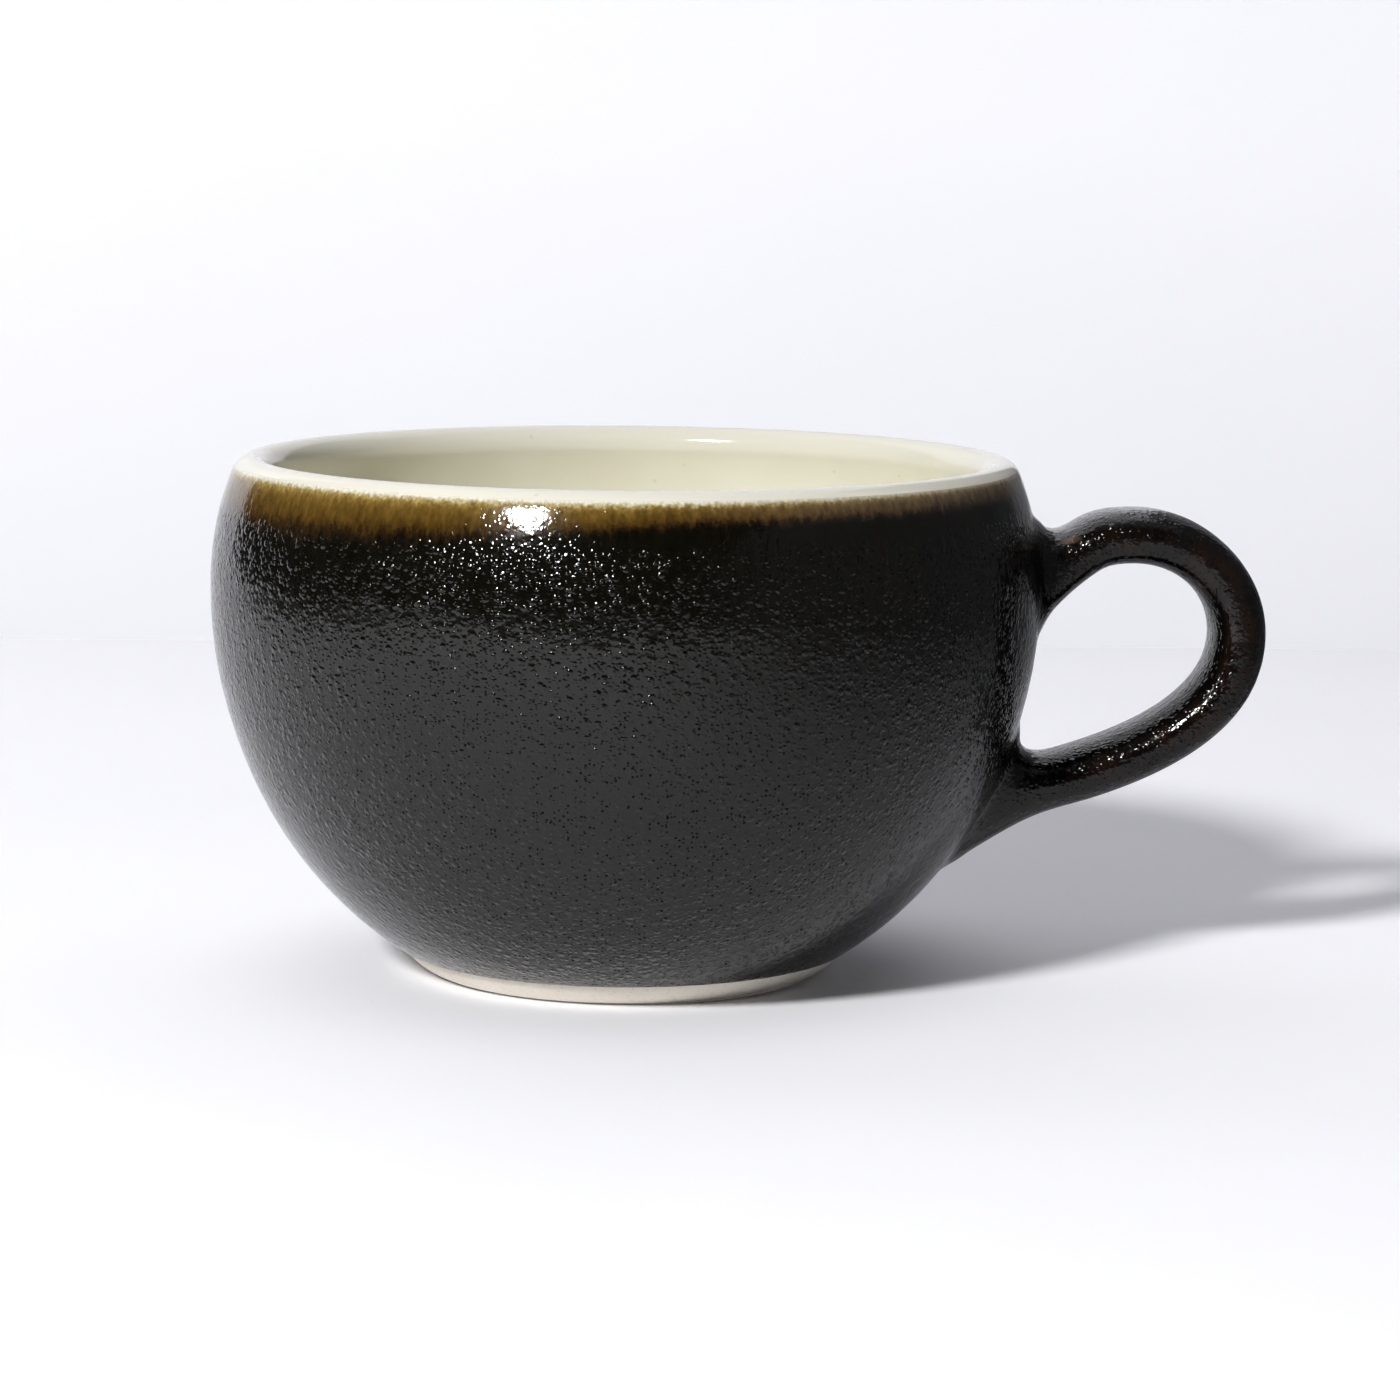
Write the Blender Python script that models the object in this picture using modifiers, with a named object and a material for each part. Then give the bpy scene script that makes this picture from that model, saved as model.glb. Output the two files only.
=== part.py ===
"""Stoneware soup cup: a thrown bowl, a pulled strap handle luted on with slip, and two glaze coats.

All lengths are metres. The bowl's and the handle's sizes are taken over the finished glaze, as a
caliper would read them on the fired cup, and the clay underneath is worked out from the coats.
"""

import math

import bpy
import numpy as np
from mathutils import Vector
from mathutils.geometry import interpolate_bezier

# Bowl, outside
CUP_HEIGHT = 0.0717  # table to the crest of the lip
BELLY_DIAMETER = 0.115  # widest point of the bowl
BELLY_DROP = 0.0177  # crest of the lip down to the widest point
SHOULDER_RADIUS = 0.0417  # arc that leads from the belly in to the lip
FLANK_ROUNDING = 0.051  # level half-axis of the ellipse from the belly down to the foot

# Bowl, inside
WALL_THICKNESS = 0.0054  # from the belly up to the lip, over both glazes
WELL_FLOOR_HEIGHT = 0.007  # table to the lowest point of the inside
WELL_FULLNESS = 2.4  # power of the inside curve: 2 is an ellipse, more is fuller in the corner

# Turned foot, left bare of glaze
FOOT_DIAMETER = 0.054  # outer edge of the ring that stands on the table
FOOT_RING_WIDTH = 0.005
FOOT_BEVEL_HEIGHT = 0.003  # table to the glaze line
FOOT_BEVEL_REACH = 0.0042  # how far the glaze line stands out from the ring
FOOT_RECESS_DEPTH = 0.0025
FOOT_RECESS_ROUND = 0.0018  # corner between the ring and the recess
FILLET_SHARE = 0.9  # most of the recess's depth that this corner may take

# Glaze and slip
GLAZE_THICKNESS = 0.0005
SLIP_THICKNESS = 0.0015
LINER_TURNDOWN = 0.0006  # how far the liner runs down outside, below the round of the lip
SEAT_GAP = 0.0003  # clearance between pieces that touch

# Handle
HANDLE_STANDOUT = 0.0315  # belly to the outermost face
HANDLE_THICKNESS = 0.0076
HANDLE_WIDTH = 0.0155
STRAP_SQUARENESS = 2.6  # power of the strap's section: 2 is an oval
CREST_STANDOUT = 0.013  # belly out to the crest
CREST_LIFT = 0.011  # belly up to the top of the crest
CREST_PULL = 0.0069  # how long the crest stays level towards the wall
BOW_DROP = 0.0065  # belly down to the outermost point
BOW_PULL = 0.0107  # how long the strap stays upright below the bow
UPPER_ROOT_LIFT = 0.0018  # belly up to the middle of the upper root
UPPER_ROOT_CLIMB = math.radians(26)  # the strap leaves the wall climbing
UPPER_ROOT_PULL = 0.008  # how long it keeps that direction
UPPER_ROOT_SPAN = 0.0142  # along the wall
UPPER_ROOT_WIDTH = 0.0175
LOWER_ROOT_DROP = 0.0293  # belly down to the middle of the lower root
LOWER_ROOT_CLIMB = math.radians(11)
LOWER_ROOT_PULL = 0.023
LOWER_ROOT_SPAN = 0.0205
LOWER_ROOT_WIDTH = 0.0165
FLARE_LENGTH = 0.009  # stretch over which a root swells
FLARE_POWER = 3  # higher keeps the swelling closer to the wall
ROOT_TURN_LENGTH = 0.016  # stretch over which the section turns to lie along the wall
ROOT_TURN_POWER = 1.5
ROOT_BURY = 0.006  # the strap is drawn on into the wall before it is trimmed

# Fineness of the mesh
TURN_STEPS = 52
FLANK_STEPS = 9
SHOULDER_STEPS = 4
LIP_STEPS = 6
WELL_STEPS = 9
ROUND_STEPS = 3
STRAP_POINTS = 16
STRAP_RINGS = 36
RING_CROWDING = 0.45  # draws the strap's rings towards its roots, where the section changes
MERGE_DISTANCE = 0.00001

# Worked out from the sizes above
BELLY_RADIUS = BELLY_DIAMETER / 2
BELLY_HEIGHT = CUP_HEIGHT - BELLY_DROP
FOOT_RADIUS = FOOT_DIAMETER / 2
COAT = GLAZE_THICKNESS + SEAT_GAP  # from the finished surface down to the clay
FLANK_ANGLE = math.acos(1 - (BELLY_RADIUS - FOOT_RADIUS - FOOT_BEVEL_REACH) / FLANK_ROUNDING)
FLANK_DROP = (BELLY_HEIGHT - FOOT_BEVEL_HEIGHT) / math.sin(FLANK_ANGLE)
LIP_RADIUS = WALL_THICKNESS / 2
LIP_ANGLE = math.asin((CUP_HEIGHT - LIP_RADIUS - BELLY_HEIGHT) / (SHOULDER_RADIUS - LIP_RADIUS))
SHOULDER_CENTRE = BELLY_RADIUS - SHOULDER_RADIUS
GLAZE_SEAM_ANGLE = LIP_ANGLE - LINER_TURNDOWN / SHOULDER_RADIUS
SEAM_HALF_ANGLE = SEAT_GAP / SHOULDER_RADIUS / 2
UPPER_ROOT_HEIGHT = BELLY_HEIGHT + UPPER_ROOT_LIFT
LOWER_ROOT_HEIGHT = BELLY_HEIGHT - LOWER_ROOT_DROP
AXIS_OFFSET = -HANDLE_STANDOUT / 2  # centres the whole cup, handle included, over the origin


def spread(first, last, steps):
    """Evenly spread values, both ends included."""
    return [first + (last - first) * step / steps for step in range(steps + 1)]


def flank_point(angle):
    """Finished surface below the belly, as (radius, height, normal): an arc of an ellipse."""
    radius = BELLY_RADIUS - FLANK_ROUNDING * (1 - math.cos(angle))
    height = BELLY_HEIGHT - FLANK_DROP * math.sin(angle)
    normal = Vector((math.cos(angle) / FLANK_ROUNDING, -math.sin(angle) / FLANK_DROP))
    return radius, height, normal.normalized()


def arc_point(centre_radius, centre_height, radius, angle, side=1):
    """A point on a round stretch, as (radius, height, normal). Side -1 faces the centre."""
    outward = Vector((math.cos(angle), math.sin(angle)))
    place = Vector((centre_radius, centre_height)) + radius * outward
    return place.x, place.y, side * outward


def well_point(angle):
    """Finished inside below the belly, from the wall (0) to the middle of the floor (a right angle)."""
    power = 2 / WELL_FULLNESS
    across = max(math.cos(angle), 0) ** power
    down = math.sin(angle) ** power
    well_radius = BELLY_RADIUS - WALL_THICKNESS
    well_depth = BELLY_HEIGHT - WELL_FLOOR_HEIGHT
    into_wall = Vector(
        (across ** (WELL_FULLNESS - 1) / well_radius, -(down ** (WELL_FULLNESS - 1)) / well_depth)
    )
    return across * well_radius, BELLY_HEIGHT - well_depth * down, -into_wall.normalized()


def flank_stations():
    """From the glaze line at the foot up to just under the belly."""
    return [flank_point(angle) for angle in spread(FLANK_ANGLE, 0, FLANK_STEPS)[:-1]]


def shoulder_stations(top_angle):
    """From the belly up to a place on the shoulder."""
    angles = spread(0, top_angle, SHOULDER_STEPS)
    return [arc_point(SHOULDER_CENTRE, BELLY_HEIGHT, SHOULDER_RADIUS, angle) for angle in angles]


def lip_and_well_stations():
    """Over the lip and down the inside to the middle of the floor."""
    middle_radius, middle_height, _ = arc_point(
        SHOULDER_CENTRE, BELLY_HEIGHT, SHOULDER_RADIUS - LIP_RADIUS, LIP_ANGLE
    )
    stations = [
        arc_point(middle_radius, middle_height, LIP_RADIUS, angle)
        for angle in spread(LIP_ANGLE, LIP_ANGLE + math.pi, LIP_STEPS)
    ]
    inside_radius = SHOULDER_RADIUS - WALL_THICKNESS
    stations += [
        arc_point(SHOULDER_CENTRE, BELLY_HEIGHT, inside_radius, angle, side=-1)
        for angle in spread(LIP_ANGLE, 0, SHOULDER_STEPS)[1:-1]
    ]
    stations += [well_point(angle) for angle in spread(0, math.pi / 2, WELL_STEPS)]
    return stations


def sunk(stations, depth):
    """The stations moved straight into the wall by a depth, as (radius, height) points."""
    return [(radius - depth * normal.x, height - depth * normal.y) for radius, height, normal in stations]


def rounded_corner(centre, radius, first_angle, last_angle):
    """Points round a small corner."""
    return [
        (centre[0] + radius * math.cos(angle), centre[1] + radius * math.sin(angle))
        for angle in spread(first_angle, last_angle, ROUND_STEPS)
    ]


def material(name, colour, roughness):
    """A Principled material that is neither metal nor clear."""
    made = bpy.data.materials.new(name)
    made.use_nodes = True
    shader = made.node_tree.nodes["Principled BSDF"]
    shader.inputs["Base Color"].default_value = (*colour, 1)
    shader.inputs["Roughness"].default_value = roughness
    shader.inputs["Metallic"].default_value = 0
    made.diffuse_color = (*colour, 1)
    return made


def place(mesh, name, collection, finish=None):
    """Put a mesh on the bowl's axis, as a part with a finish or as a helper that is not shown."""
    made = bpy.data.objects.new(name, mesh)
    collection.objects.link(made)
    made.parent = axis
    if finish:
        mesh.materials.append(finish)
    else:
        made.hide_render = True
        made.display_type = "WIRE"
    return made


def turned(name, outline, collection, finish=None, ring=False):
    """Spin an outline of (radius, height) points round the bowl's axis."""
    count = len(outline)
    edges = [(index, index + 1) for index in range(count - 1)]
    if ring:
        edges.append((count - 1, 0))
    mesh = bpy.data.meshes.new(name)
    mesh.from_pydata([(radius, 0, height) for radius, height in outline], edges, [])
    made = place(mesh, name, collection, finish)
    screw = made.modifiers.new("Turn", "SCREW")
    screw.steps = TURN_STEPS
    screw.render_steps = TURN_STEPS
    screw.use_merge_vertices = True
    screw.merge_threshold = MERGE_DISTANCE
    screw.use_smooth_shade = True
    return made


def combine(target, other, operation):
    """Cut, join or keep the overlap of two solids."""
    boolean = target.modifiers.new(operation.title(), "BOOLEAN")
    boolean.operation = operation
    boolean.object = other
    boolean.solver = "EXACT"


def outer_radius(height):
    """Radius of the finished bowl at a height."""
    rise = height - BELLY_HEIGHT
    if rise >= 0:
        return SHOULDER_CENTRE + math.sqrt(SHOULDER_RADIUS**2 - rise**2)
    return BELLY_RADIUS - FLANK_ROUNDING * (1 - math.sqrt(1 - (rise / FLANK_DROP) ** 2))


def wall_direction(height):
    """Direction straight up the finished wall at a height."""
    step = HANDLE_THICKNESS / 100
    return Vector((outer_radius(height + step) - outer_radius(height - step), 0, 2 * step)).normalized()


def centreline():
    """The handle's middle line, from the upper root over the crest and round the bow to the lower root."""
    upper = Vector((outer_radius(UPPER_ROOT_HEIGHT), 0, UPPER_ROOT_HEIGHT))
    half = HANDLE_THICKNESS / 2
    crest = Vector((BELLY_RADIUS + CREST_STANDOUT, 0, BELLY_HEIGHT + CREST_LIFT - half))
    bow = Vector((BELLY_RADIUS + HANDLE_STANDOUT - half, 0, BELLY_HEIGHT - BOW_DROP))
    lower = Vector((outer_radius(LOWER_ROOT_HEIGHT), 0, LOWER_ROOT_HEIGHT))
    leaving = Vector((math.cos(UPPER_ROOT_CLIMB), 0, math.sin(UPPER_ROOT_CLIMB)))
    arriving = Vector((math.cos(LOWER_ROOT_CLIMB), 0, math.sin(LOWER_ROOT_CLIMB)))
    level = Vector((1, 0, 0))
    upright = Vector((0, 0, 1))
    round_share = 4 / 3 * math.tan(math.pi / 8)  # makes a quarter of an ellipse from one Bezier stretch
    stretches = (
        (upper, upper + UPPER_ROOT_PULL * leaving, crest - CREST_PULL * level, crest),
        (
            crest,
            crest + round_share * (bow.x - crest.x) * level,
            bow + round_share * (crest.z - bow.z) * upright,
            bow,
        ),
        (bow, bow - BOW_PULL * upright, lower + LOWER_ROOT_PULL * arriving, lower),
    )
    points = [upper - ROOT_BURY * leaving]
    for stretch in stretches:
        points += interpolate_bezier(*stretch, STRAP_RINGS)[:-1]
    points += [lower, lower - ROOT_BURY * arriving]
    return np.array(points)


def strap_rings(depth):
    """Rings round the strap, its surface sunk by a depth, as (centre, in-plane axis, half sizes)."""
    line = centreline()
    steps = np.linalg.norm(np.diff(line, axis=0), axis=1)
    travel = np.concatenate([[0], np.cumsum(steps)])
    length = float(travel[-1])
    roots = (
        (ROOT_BURY, wall_direction(UPPER_ROOT_HEIGHT), UPPER_ROOT_SPAN, UPPER_ROOT_WIDTH),
        (length - ROOT_BURY, -wall_direction(LOWER_ROOT_HEIGHT), LOWER_ROOT_SPAN, LOWER_ROOT_WIDTH),
    )
    nudge = HANDLE_THICKNESS / 10
    for share in spread(0, 1, STRAP_RINGS - 1):
        here = length * (share - RING_CROWDING * math.sin(2 * math.pi * share) / (2 * math.pi))
        centre, behind, ahead = (
            Vector([np.interp(at, travel, line[:, axis_index]) for axis_index in range(3)])
            for at in (here, here - nudge, here + nudge)
        )
        tangent = (ahead - behind).normalized()
        across = Vector((-tangent.z, 0, tangent.x))
        thickness = HANDLE_THICKNESS
        width = HANDLE_WIDTH
        from_upper = here - roots[0][0]
        from_lower = roots[1][0] - here
        distance, root = min((from_upper, roots[0]), (from_lower, roots[1]), key=lambda pair: pair[0])
        distance = max(distance, 0)
        flare = max(1 - distance / FLARE_LENGTH, 0) ** FLARE_POWER
        turning = max(1 - distance / ROOT_TURN_LENGTH, 0) ** ROOT_TURN_POWER
        thickness += flare * (root[2] - thickness)
        width += flare * (root[3] - width)
        across = across.lerp(root[1], turning).normalized()
        yield centre, across, thickness / 2 - depth, width / 2 - depth


def strap_mesh(name, depth):
    """The whole strap as a loft through its rings, closed at both buried ends."""
    sideways = Vector((0, 1, 0))
    power = 2 / STRAP_SQUARENESS
    points = []
    for centre, across, half_thickness, half_width in strap_rings(depth):
        for index in range(STRAP_POINTS):
            angle = 2 * math.pi * (index + 0.5) / STRAP_POINTS
            reach = math.copysign(abs(math.cos(angle)) ** power, math.cos(angle))
            breadth = math.copysign(abs(math.sin(angle)) ** power, math.sin(angle))
            points.append(centre + reach * half_thickness * across + breadth * half_width * sideways)
    faces = []
    for ring in range(STRAP_RINGS - 1):
        for index in range(STRAP_POINTS):
            after = (index + 1) % STRAP_POINTS
            near, far = ring * STRAP_POINTS, (ring + 1) * STRAP_POINTS
            faces.append((near + index, far + index, far + after, near + after))
    last = (STRAP_RINGS - 1) * STRAP_POINTS
    faces.append(tuple(range(STRAP_POINTS)))
    faces.append(tuple(reversed(range(last, last + STRAP_POINTS))))
    mesh = bpy.data.meshes.new(name)
    mesh.from_pydata(points, [], faces)
    mesh.shade_smooth()
    return mesh


def filled_bowl(name, depth):
    """A helper that fills the bowl out to a depth under its finished outside."""
    outside = sunk(flank_stations() + shoulder_stations(LIP_ANGLE), depth)[::-1]
    top, bottom = (0, outside[0][1]), (0, outside[-1][1])
    return turned(name, [top, *outside, bottom], helpers)


def make_bowl():
    """The thrown clay: well, lip, wall, turned foot and the shallow recess under it."""
    stations = flank_stations() + shoulder_stations(LIP_ANGLE)[:-1] + lip_and_well_stations()
    outline = sunk(stations, COAT)[::-1]
    inner_radius = FOOT_RADIUS - FOOT_RING_WIDTH
    corner = min(FOOT_RECESS_ROUND, FILLET_SHARE * FOOT_RECESS_DEPTH)
    corner_centre = (inner_radius - corner, FOOT_RECESS_DEPTH - corner)
    outline += [(FOOT_RADIUS, 0), (inner_radius, 0)]
    outline += rounded_corner(corner_centre, corner, 0, math.pi / 2)
    outline.append((0, FOOT_RECESS_DEPTH))
    turned("stoneware_bowl", outline, cup, material("bare stoneware", (0.66, 0.58, 0.44), 0.8))


def make_handle():
    """The pulled strap, trimmed to the wall with room for the slip."""
    mesh = strap_mesh("handle", COAT)
    handle = place(mesh, "handle", cup, material("strap stoneware", (0.64, 0.56, 0.43), 0.8))
    seat = filled_bowl("handle_seat", COAT - 2 * SEAT_GAP - SLIP_THICKNESS)
    combine(handle, seat, "DIFFERENCE")


def make_slip_joint(name, stations):
    """The layer of slip that lutes one root of the handle to a stretch of the wall."""
    outer_face = sunk(stations, COAT - SEAT_GAP - SLIP_THICKNESS)[::-1]
    inner_face = sunk(stations, COAT - SEAT_GAP)
    band = turned(f"{name}_band", outer_face + inner_face, helpers, ring=True)
    finish = material(f"{name} slip", (0.58, 0.5, 0.38), 0.85)
    joint = place(strap_mesh(name, COAT), name, cup, finish)
    combine(joint, band, "INTERSECT")


def make_liner():
    """The pale glaze poured inside, which runs over the lip."""
    turndown = [
        arc_point(SHOULDER_CENTRE, BELLY_HEIGHT, SHOULDER_RADIUS, GLAZE_SEAM_ANGLE + SEAM_HALF_ANGLE)
    ]
    stations = turndown + lip_and_well_stations()
    outline = sunk(stations, 0)[::-1] + sunk(stations, GLAZE_THICKNESS)
    turned("liner_glaze", outline, cup, material("ivory liner glaze", (0.72, 0.7, 0.6), 0.15))


def make_outer_glaze():
    """The dark dipped coat: one skin over the bowl's outside and round the whole handle."""
    stations = flank_stations() + shoulder_stations(GLAZE_SEAM_ANGLE - SEAM_HALF_ANGLE)
    outline = sunk(stations, 0)[::-1] + sunk(stations, GLAZE_THICKNESS)
    finish = material("black tenmoku glaze", (0.012, 0.011, 0.011), 0.3)
    coat = turned("outer_glaze", outline, cup, finish, ring=True)
    sleeve = place(strap_mesh("handle_coat", 0), "handle_coat", helpers)
    combine(sleeve, filled_bowl("handle_coat_trim", GLAZE_THICKNESS / 2), "DIFFERENCE")
    combine(coat, sleeve, "UNION")
    combine(coat, place(strap_mesh("handle_core", GLAZE_THICKNESS), "handle_core", helpers), "DIFFERENCE")


for leftover in list(bpy.data.objects):
    bpy.data.objects.remove(leftover)

cup = bpy.data.collections.new("soup_cup")
helpers = bpy.data.collections.new("helpers")
bpy.context.scene.collection.children.link(cup)
bpy.context.scene.collection.children.link(helpers)

axis = bpy.data.objects.new("bowl_axis", None)
axis.location.x = AXIS_OFFSET
cup.objects.link(axis)

wall = flank_stations() + shoulder_stations(LIP_ANGLE)
between_roots = (UPPER_ROOT_HEIGHT + LOWER_ROOT_HEIGHT) / 2
split = min(range(len(wall)), key=lambda index: abs(wall[index][1] - between_roots))
make_bowl()
make_handle()
make_slip_joint("upper_slip_joint", wall[split:])
make_slip_joint("lower_slip_joint", wall[: split + 1])
make_liner()
make_outer_glaze()
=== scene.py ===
# %% [markdown]
# # A stoneware soup cup, dressed for its portrait
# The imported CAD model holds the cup's true sizes: a thrown bowl, a pulled strap handle, two joints
# of slip and two coats of glaze. This lesson keeps that model as a fixed frame. The solids that
# show are built again at a finer grain, and every piece gets the finish of fired clay or glass.

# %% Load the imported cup
import math

import bmesh
import bpy
import numpy as np
from mathutils import Matrix, Vector, noise
from mathutils.bvhtree import BVHTree
from mathutils.geometry import interpolate_bezier


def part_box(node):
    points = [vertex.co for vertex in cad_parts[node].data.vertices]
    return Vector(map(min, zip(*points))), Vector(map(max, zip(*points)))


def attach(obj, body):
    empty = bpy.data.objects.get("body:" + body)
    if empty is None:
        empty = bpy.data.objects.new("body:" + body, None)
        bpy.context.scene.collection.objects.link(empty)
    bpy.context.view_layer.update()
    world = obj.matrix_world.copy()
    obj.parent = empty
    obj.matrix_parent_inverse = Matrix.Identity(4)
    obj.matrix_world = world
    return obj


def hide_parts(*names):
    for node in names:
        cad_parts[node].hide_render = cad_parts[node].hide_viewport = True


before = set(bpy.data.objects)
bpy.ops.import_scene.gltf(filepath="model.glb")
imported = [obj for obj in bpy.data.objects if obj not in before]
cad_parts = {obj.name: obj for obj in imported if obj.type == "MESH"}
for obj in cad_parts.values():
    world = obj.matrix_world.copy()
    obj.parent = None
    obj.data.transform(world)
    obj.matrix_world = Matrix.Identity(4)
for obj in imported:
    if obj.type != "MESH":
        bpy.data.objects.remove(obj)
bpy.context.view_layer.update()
print("CAD nodes:", ", ".join(sorted(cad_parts)))

# %% [markdown]
# ## The potter's sizes
# A caliper on the fired cup reads over the glaze, so these sizes are those of the finished
# surface. They repeat the values that drive the CAD source, because this script can't read that
# file. Millimetres are easier to picture than metres, so each value is written in them.

# %% Sizes of the finished cup
MM = 0.001

CUP_HEIGHT = 71.7 * MM
BELLY_RADIUS = 57.5 * MM
BELLY_HEIGHT = 54.0 * MM
SHOULDER_RADIUS = 41.7 * MM  # arc from the belly in to the lip
FLANK_ROUNDING = 51.0 * MM  # level half-axis of the ellipse below the belly
WALL_THICKNESS = 5.4 * MM
WELL_FLOOR_HEIGHT = 7.0 * MM
WELL_FULLNESS = 2.4
FOOT_RADIUS = 27.0 * MM
FOOT_RING_WIDTH = 5.0 * MM
GLAZE_LINE_HEIGHT = 3.0 * MM
GLAZE_LINE_REACH = 4.2 * MM  # how far the glaze line stands out from the foot
FOOT_RECESS_DEPTH = 2.5 * MM
GLAZE_THICKNESS = 0.5 * MM
HANDLE_STANDOUT = 31.5 * MM

LIP_RADIUS = WALL_THICKNESS / 2
LIP_ANGLE = math.asin((CUP_HEIGHT - LIP_RADIUS - BELLY_HEIGHT) / (SHOULDER_RADIUS - LIP_RADIUS))
SHOULDER_CENTRE = BELLY_RADIUS - SHOULDER_RADIUS
FLANK_ANGLE = math.acos(1 - (BELLY_RADIUS - FOOT_RADIUS - GLAZE_LINE_REACH) / FLANK_ROUNDING)
FLANK_DROP = (BELLY_HEIGHT - GLAZE_LINE_HEIGHT) / math.sin(FLANK_ANGLE)
LIP_CENTRE = (
    SHOULDER_CENTRE + (SHOULDER_RADIUS - LIP_RADIUS) * math.cos(LIP_ANGLE),
    CUP_HEIGHT - LIP_RADIUS,
)
BOWL_AXIS = Vector((-HANDLE_STANDOUT / 2, 0, 0))

bowl_low, bowl_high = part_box("stoneware_bowl")
print(f"bowl axis at x = {BOWL_AXIS.x / MM:.2f} mm, CAD says {(bowl_low.x + bowl_high.x) / 2 / MM:.2f} mm")

# %% [markdown]
# ## The camera
# The picture was taken with a long lens from just above the rim. The focal length and the place
# of the camera come from fitting the cup's own circles, the rim, the belly and the foot, to their
# ellipses in the picture. A camera in Blender looks along its own -Z, with +Y up.

# %% Camera
def in_scene(name, data):
    """A new object that holds some data, linked to the scene."""
    made = bpy.data.objects.new(name, data)
    bpy.context.scene.collection.objects.link(made)
    return made


PHOTO_SIDE = 1400  # pixels
FOCAL_PIXELS = 4224.4
SENSOR = 36.0  # mm
CAMERA_PLACE = BOWL_AXIS + Vector((0, -583.96, 122.44)) * MM
PITCH = math.radians(8.271)  # looking down
YAW = math.radians(1.022)  # turned towards the handle
ROLL = math.radians(-0.582)

forward = Vector((math.sin(YAW) * math.cos(PITCH), math.cos(YAW) * math.cos(PITCH), -math.sin(PITCH)))
level_right = Vector((math.cos(YAW), -math.sin(YAW), 0))
level_down = forward.cross(level_right)
right = math.cos(ROLL) * level_right + math.sin(ROLL) * level_down
down = math.cos(ROLL) * level_down - math.sin(ROLL) * level_right

camera_data = bpy.data.cameras.new("portrait_lens")
camera_data.sensor_width = SENSOR
camera_data.lens = FOCAL_PIXELS / PHOTO_SIDE * SENSOR
camera = in_scene("portrait_camera", camera_data)
turn = Matrix((right, -down, -forward)).transposed().to_4x4()
camera.matrix_world = Matrix.Translation(CAMERA_PLACE) @ turn
bpy.context.scene.camera = camera
bpy.context.scene.view_settings.view_transform = "Standard"
print(f"lens {camera_data.lens:.1f} mm")

# %% [markdown]
# ## Colours and nodes
# Colours are written the way a painter or a web page would, as sRGB hex, and one function turns
# them into the linear values that the renderer adds up. A second function adds a shader node,
# sets it up and plugs in its inputs, so that a material reads from top to bottom like a recipe. Many
# of the nodes map one range of values to another, so the ends of a range can be given as a pair.

# %% Helpers for materials
FROM = ("From Min", "From Max")  # the inputs that hold the ends of a range
TO = ("To Min", "To Max")
SMOOTH = {"interpolation_type": "SMOOTHSTEP"}
FALLING = (1.0, 0.0)  # for a value that falls where the other rises


def linear(hex_colour):
    """An sRGB hex colour as linear RGBA."""
    values = [int(hex_colour[place : place + 2], 16) / 255 for place in (1, 3, 5)]
    return (*[v / 12.92 if v <= 0.04045 else ((v + 0.055) / 1.055) ** 2.4 for v in values], 1)


def add_node(tree, kind, inputs=(), stops=(), **settings):
    """Add a shader node with its settings, and with its stops where it is a colour ramp.

    An input is linked where it is a socket, or from the first output in use where it is a node. Any
    other input is set as a value. Inputs that are named together take one value each.
    """
    made = tree.nodes.new("ShaderNode" + kind)
    for name, value in settings.items():
        setattr(made, name, value)
    plugs = []
    for name, value in dict(inputs).items():
        plugs += zip(name, value) if isinstance(name, tuple) else [(name, value)]
    for name, value in plugs:
        if isinstance(value, bpy.types.Node):
            value = next(socket for socket in value.outputs if socket.enabled)
        if isinstance(value, bpy.types.NodeSocket):
            tree.links.new(value, made.inputs[name])
        else:
            made.inputs[name].default_value = value
    for index, (position, hex_colour) in enumerate(stops):
        elements = made.color_ramp.elements
        stop = elements[index] if index < 2 else elements.new(position)
        stop.position = position
        stop.color = linear(hex_colour)
    return made


def new_material(name):
    """An empty material and its node tree."""
    made = bpy.data.materials.new(name)
    made.use_nodes = True
    made.node_tree.nodes.clear()
    return made, made.node_tree


print("mid grey #808080 is", [round(v, 3) for v in linear("#808080")[:3]])

# %% [markdown]
# ## Paper and card
# The cup stands on white paper, and a wall of grey card stands behind it. The two meet in a plain
# fold, because a rounded bend would face the lamp and shine as a bright strip behind the cup.

# %% Paper and card
SWEEP_BACK = 345 * MM  # where the card stands, behind the bowl's axis
SWEEP_REACH = 3000 * MM
PAPER_DROP = 0.05 * MM  # keeps paper and foot from sharing a plane

sweep_line = [(-SWEEP_REACH, -PAPER_DROP), (SWEEP_BACK, -PAPER_DROP), (SWEEP_BACK, SWEEP_REACH)]
sweep_points = [(side * SWEEP_REACH, y, z) for y, z in sweep_line for side in (-1, 1)]
sweep_faces = [(2 * i, 2 * i + 1, 2 * i + 3, 2 * i + 2) for i in range(len(sweep_line) - 1)]
sweep_mesh = bpy.data.meshes.new("paper_sweep")
sweep_mesh.from_pydata(sweep_points, [], sweep_faces)
sweep = in_scene("paper_sweep", sweep_mesh)
print("faces of paper and card:", len(sweep_faces))

# %% [markdown]
# ## Matt white and matt grey
# The paper is matt, with only a faint cloudiness in its white. The card is greyer because it then
# throws less light back on the cup, and a lamp of its own whitens it, and the floor before it less
# and less. A glow that only eyes and mirrors see stands for that lamp, so the floor keeps the cup's
# shadow. Seen from behind or below, both are clear, so that the cup can be looked at from every side.

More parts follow.
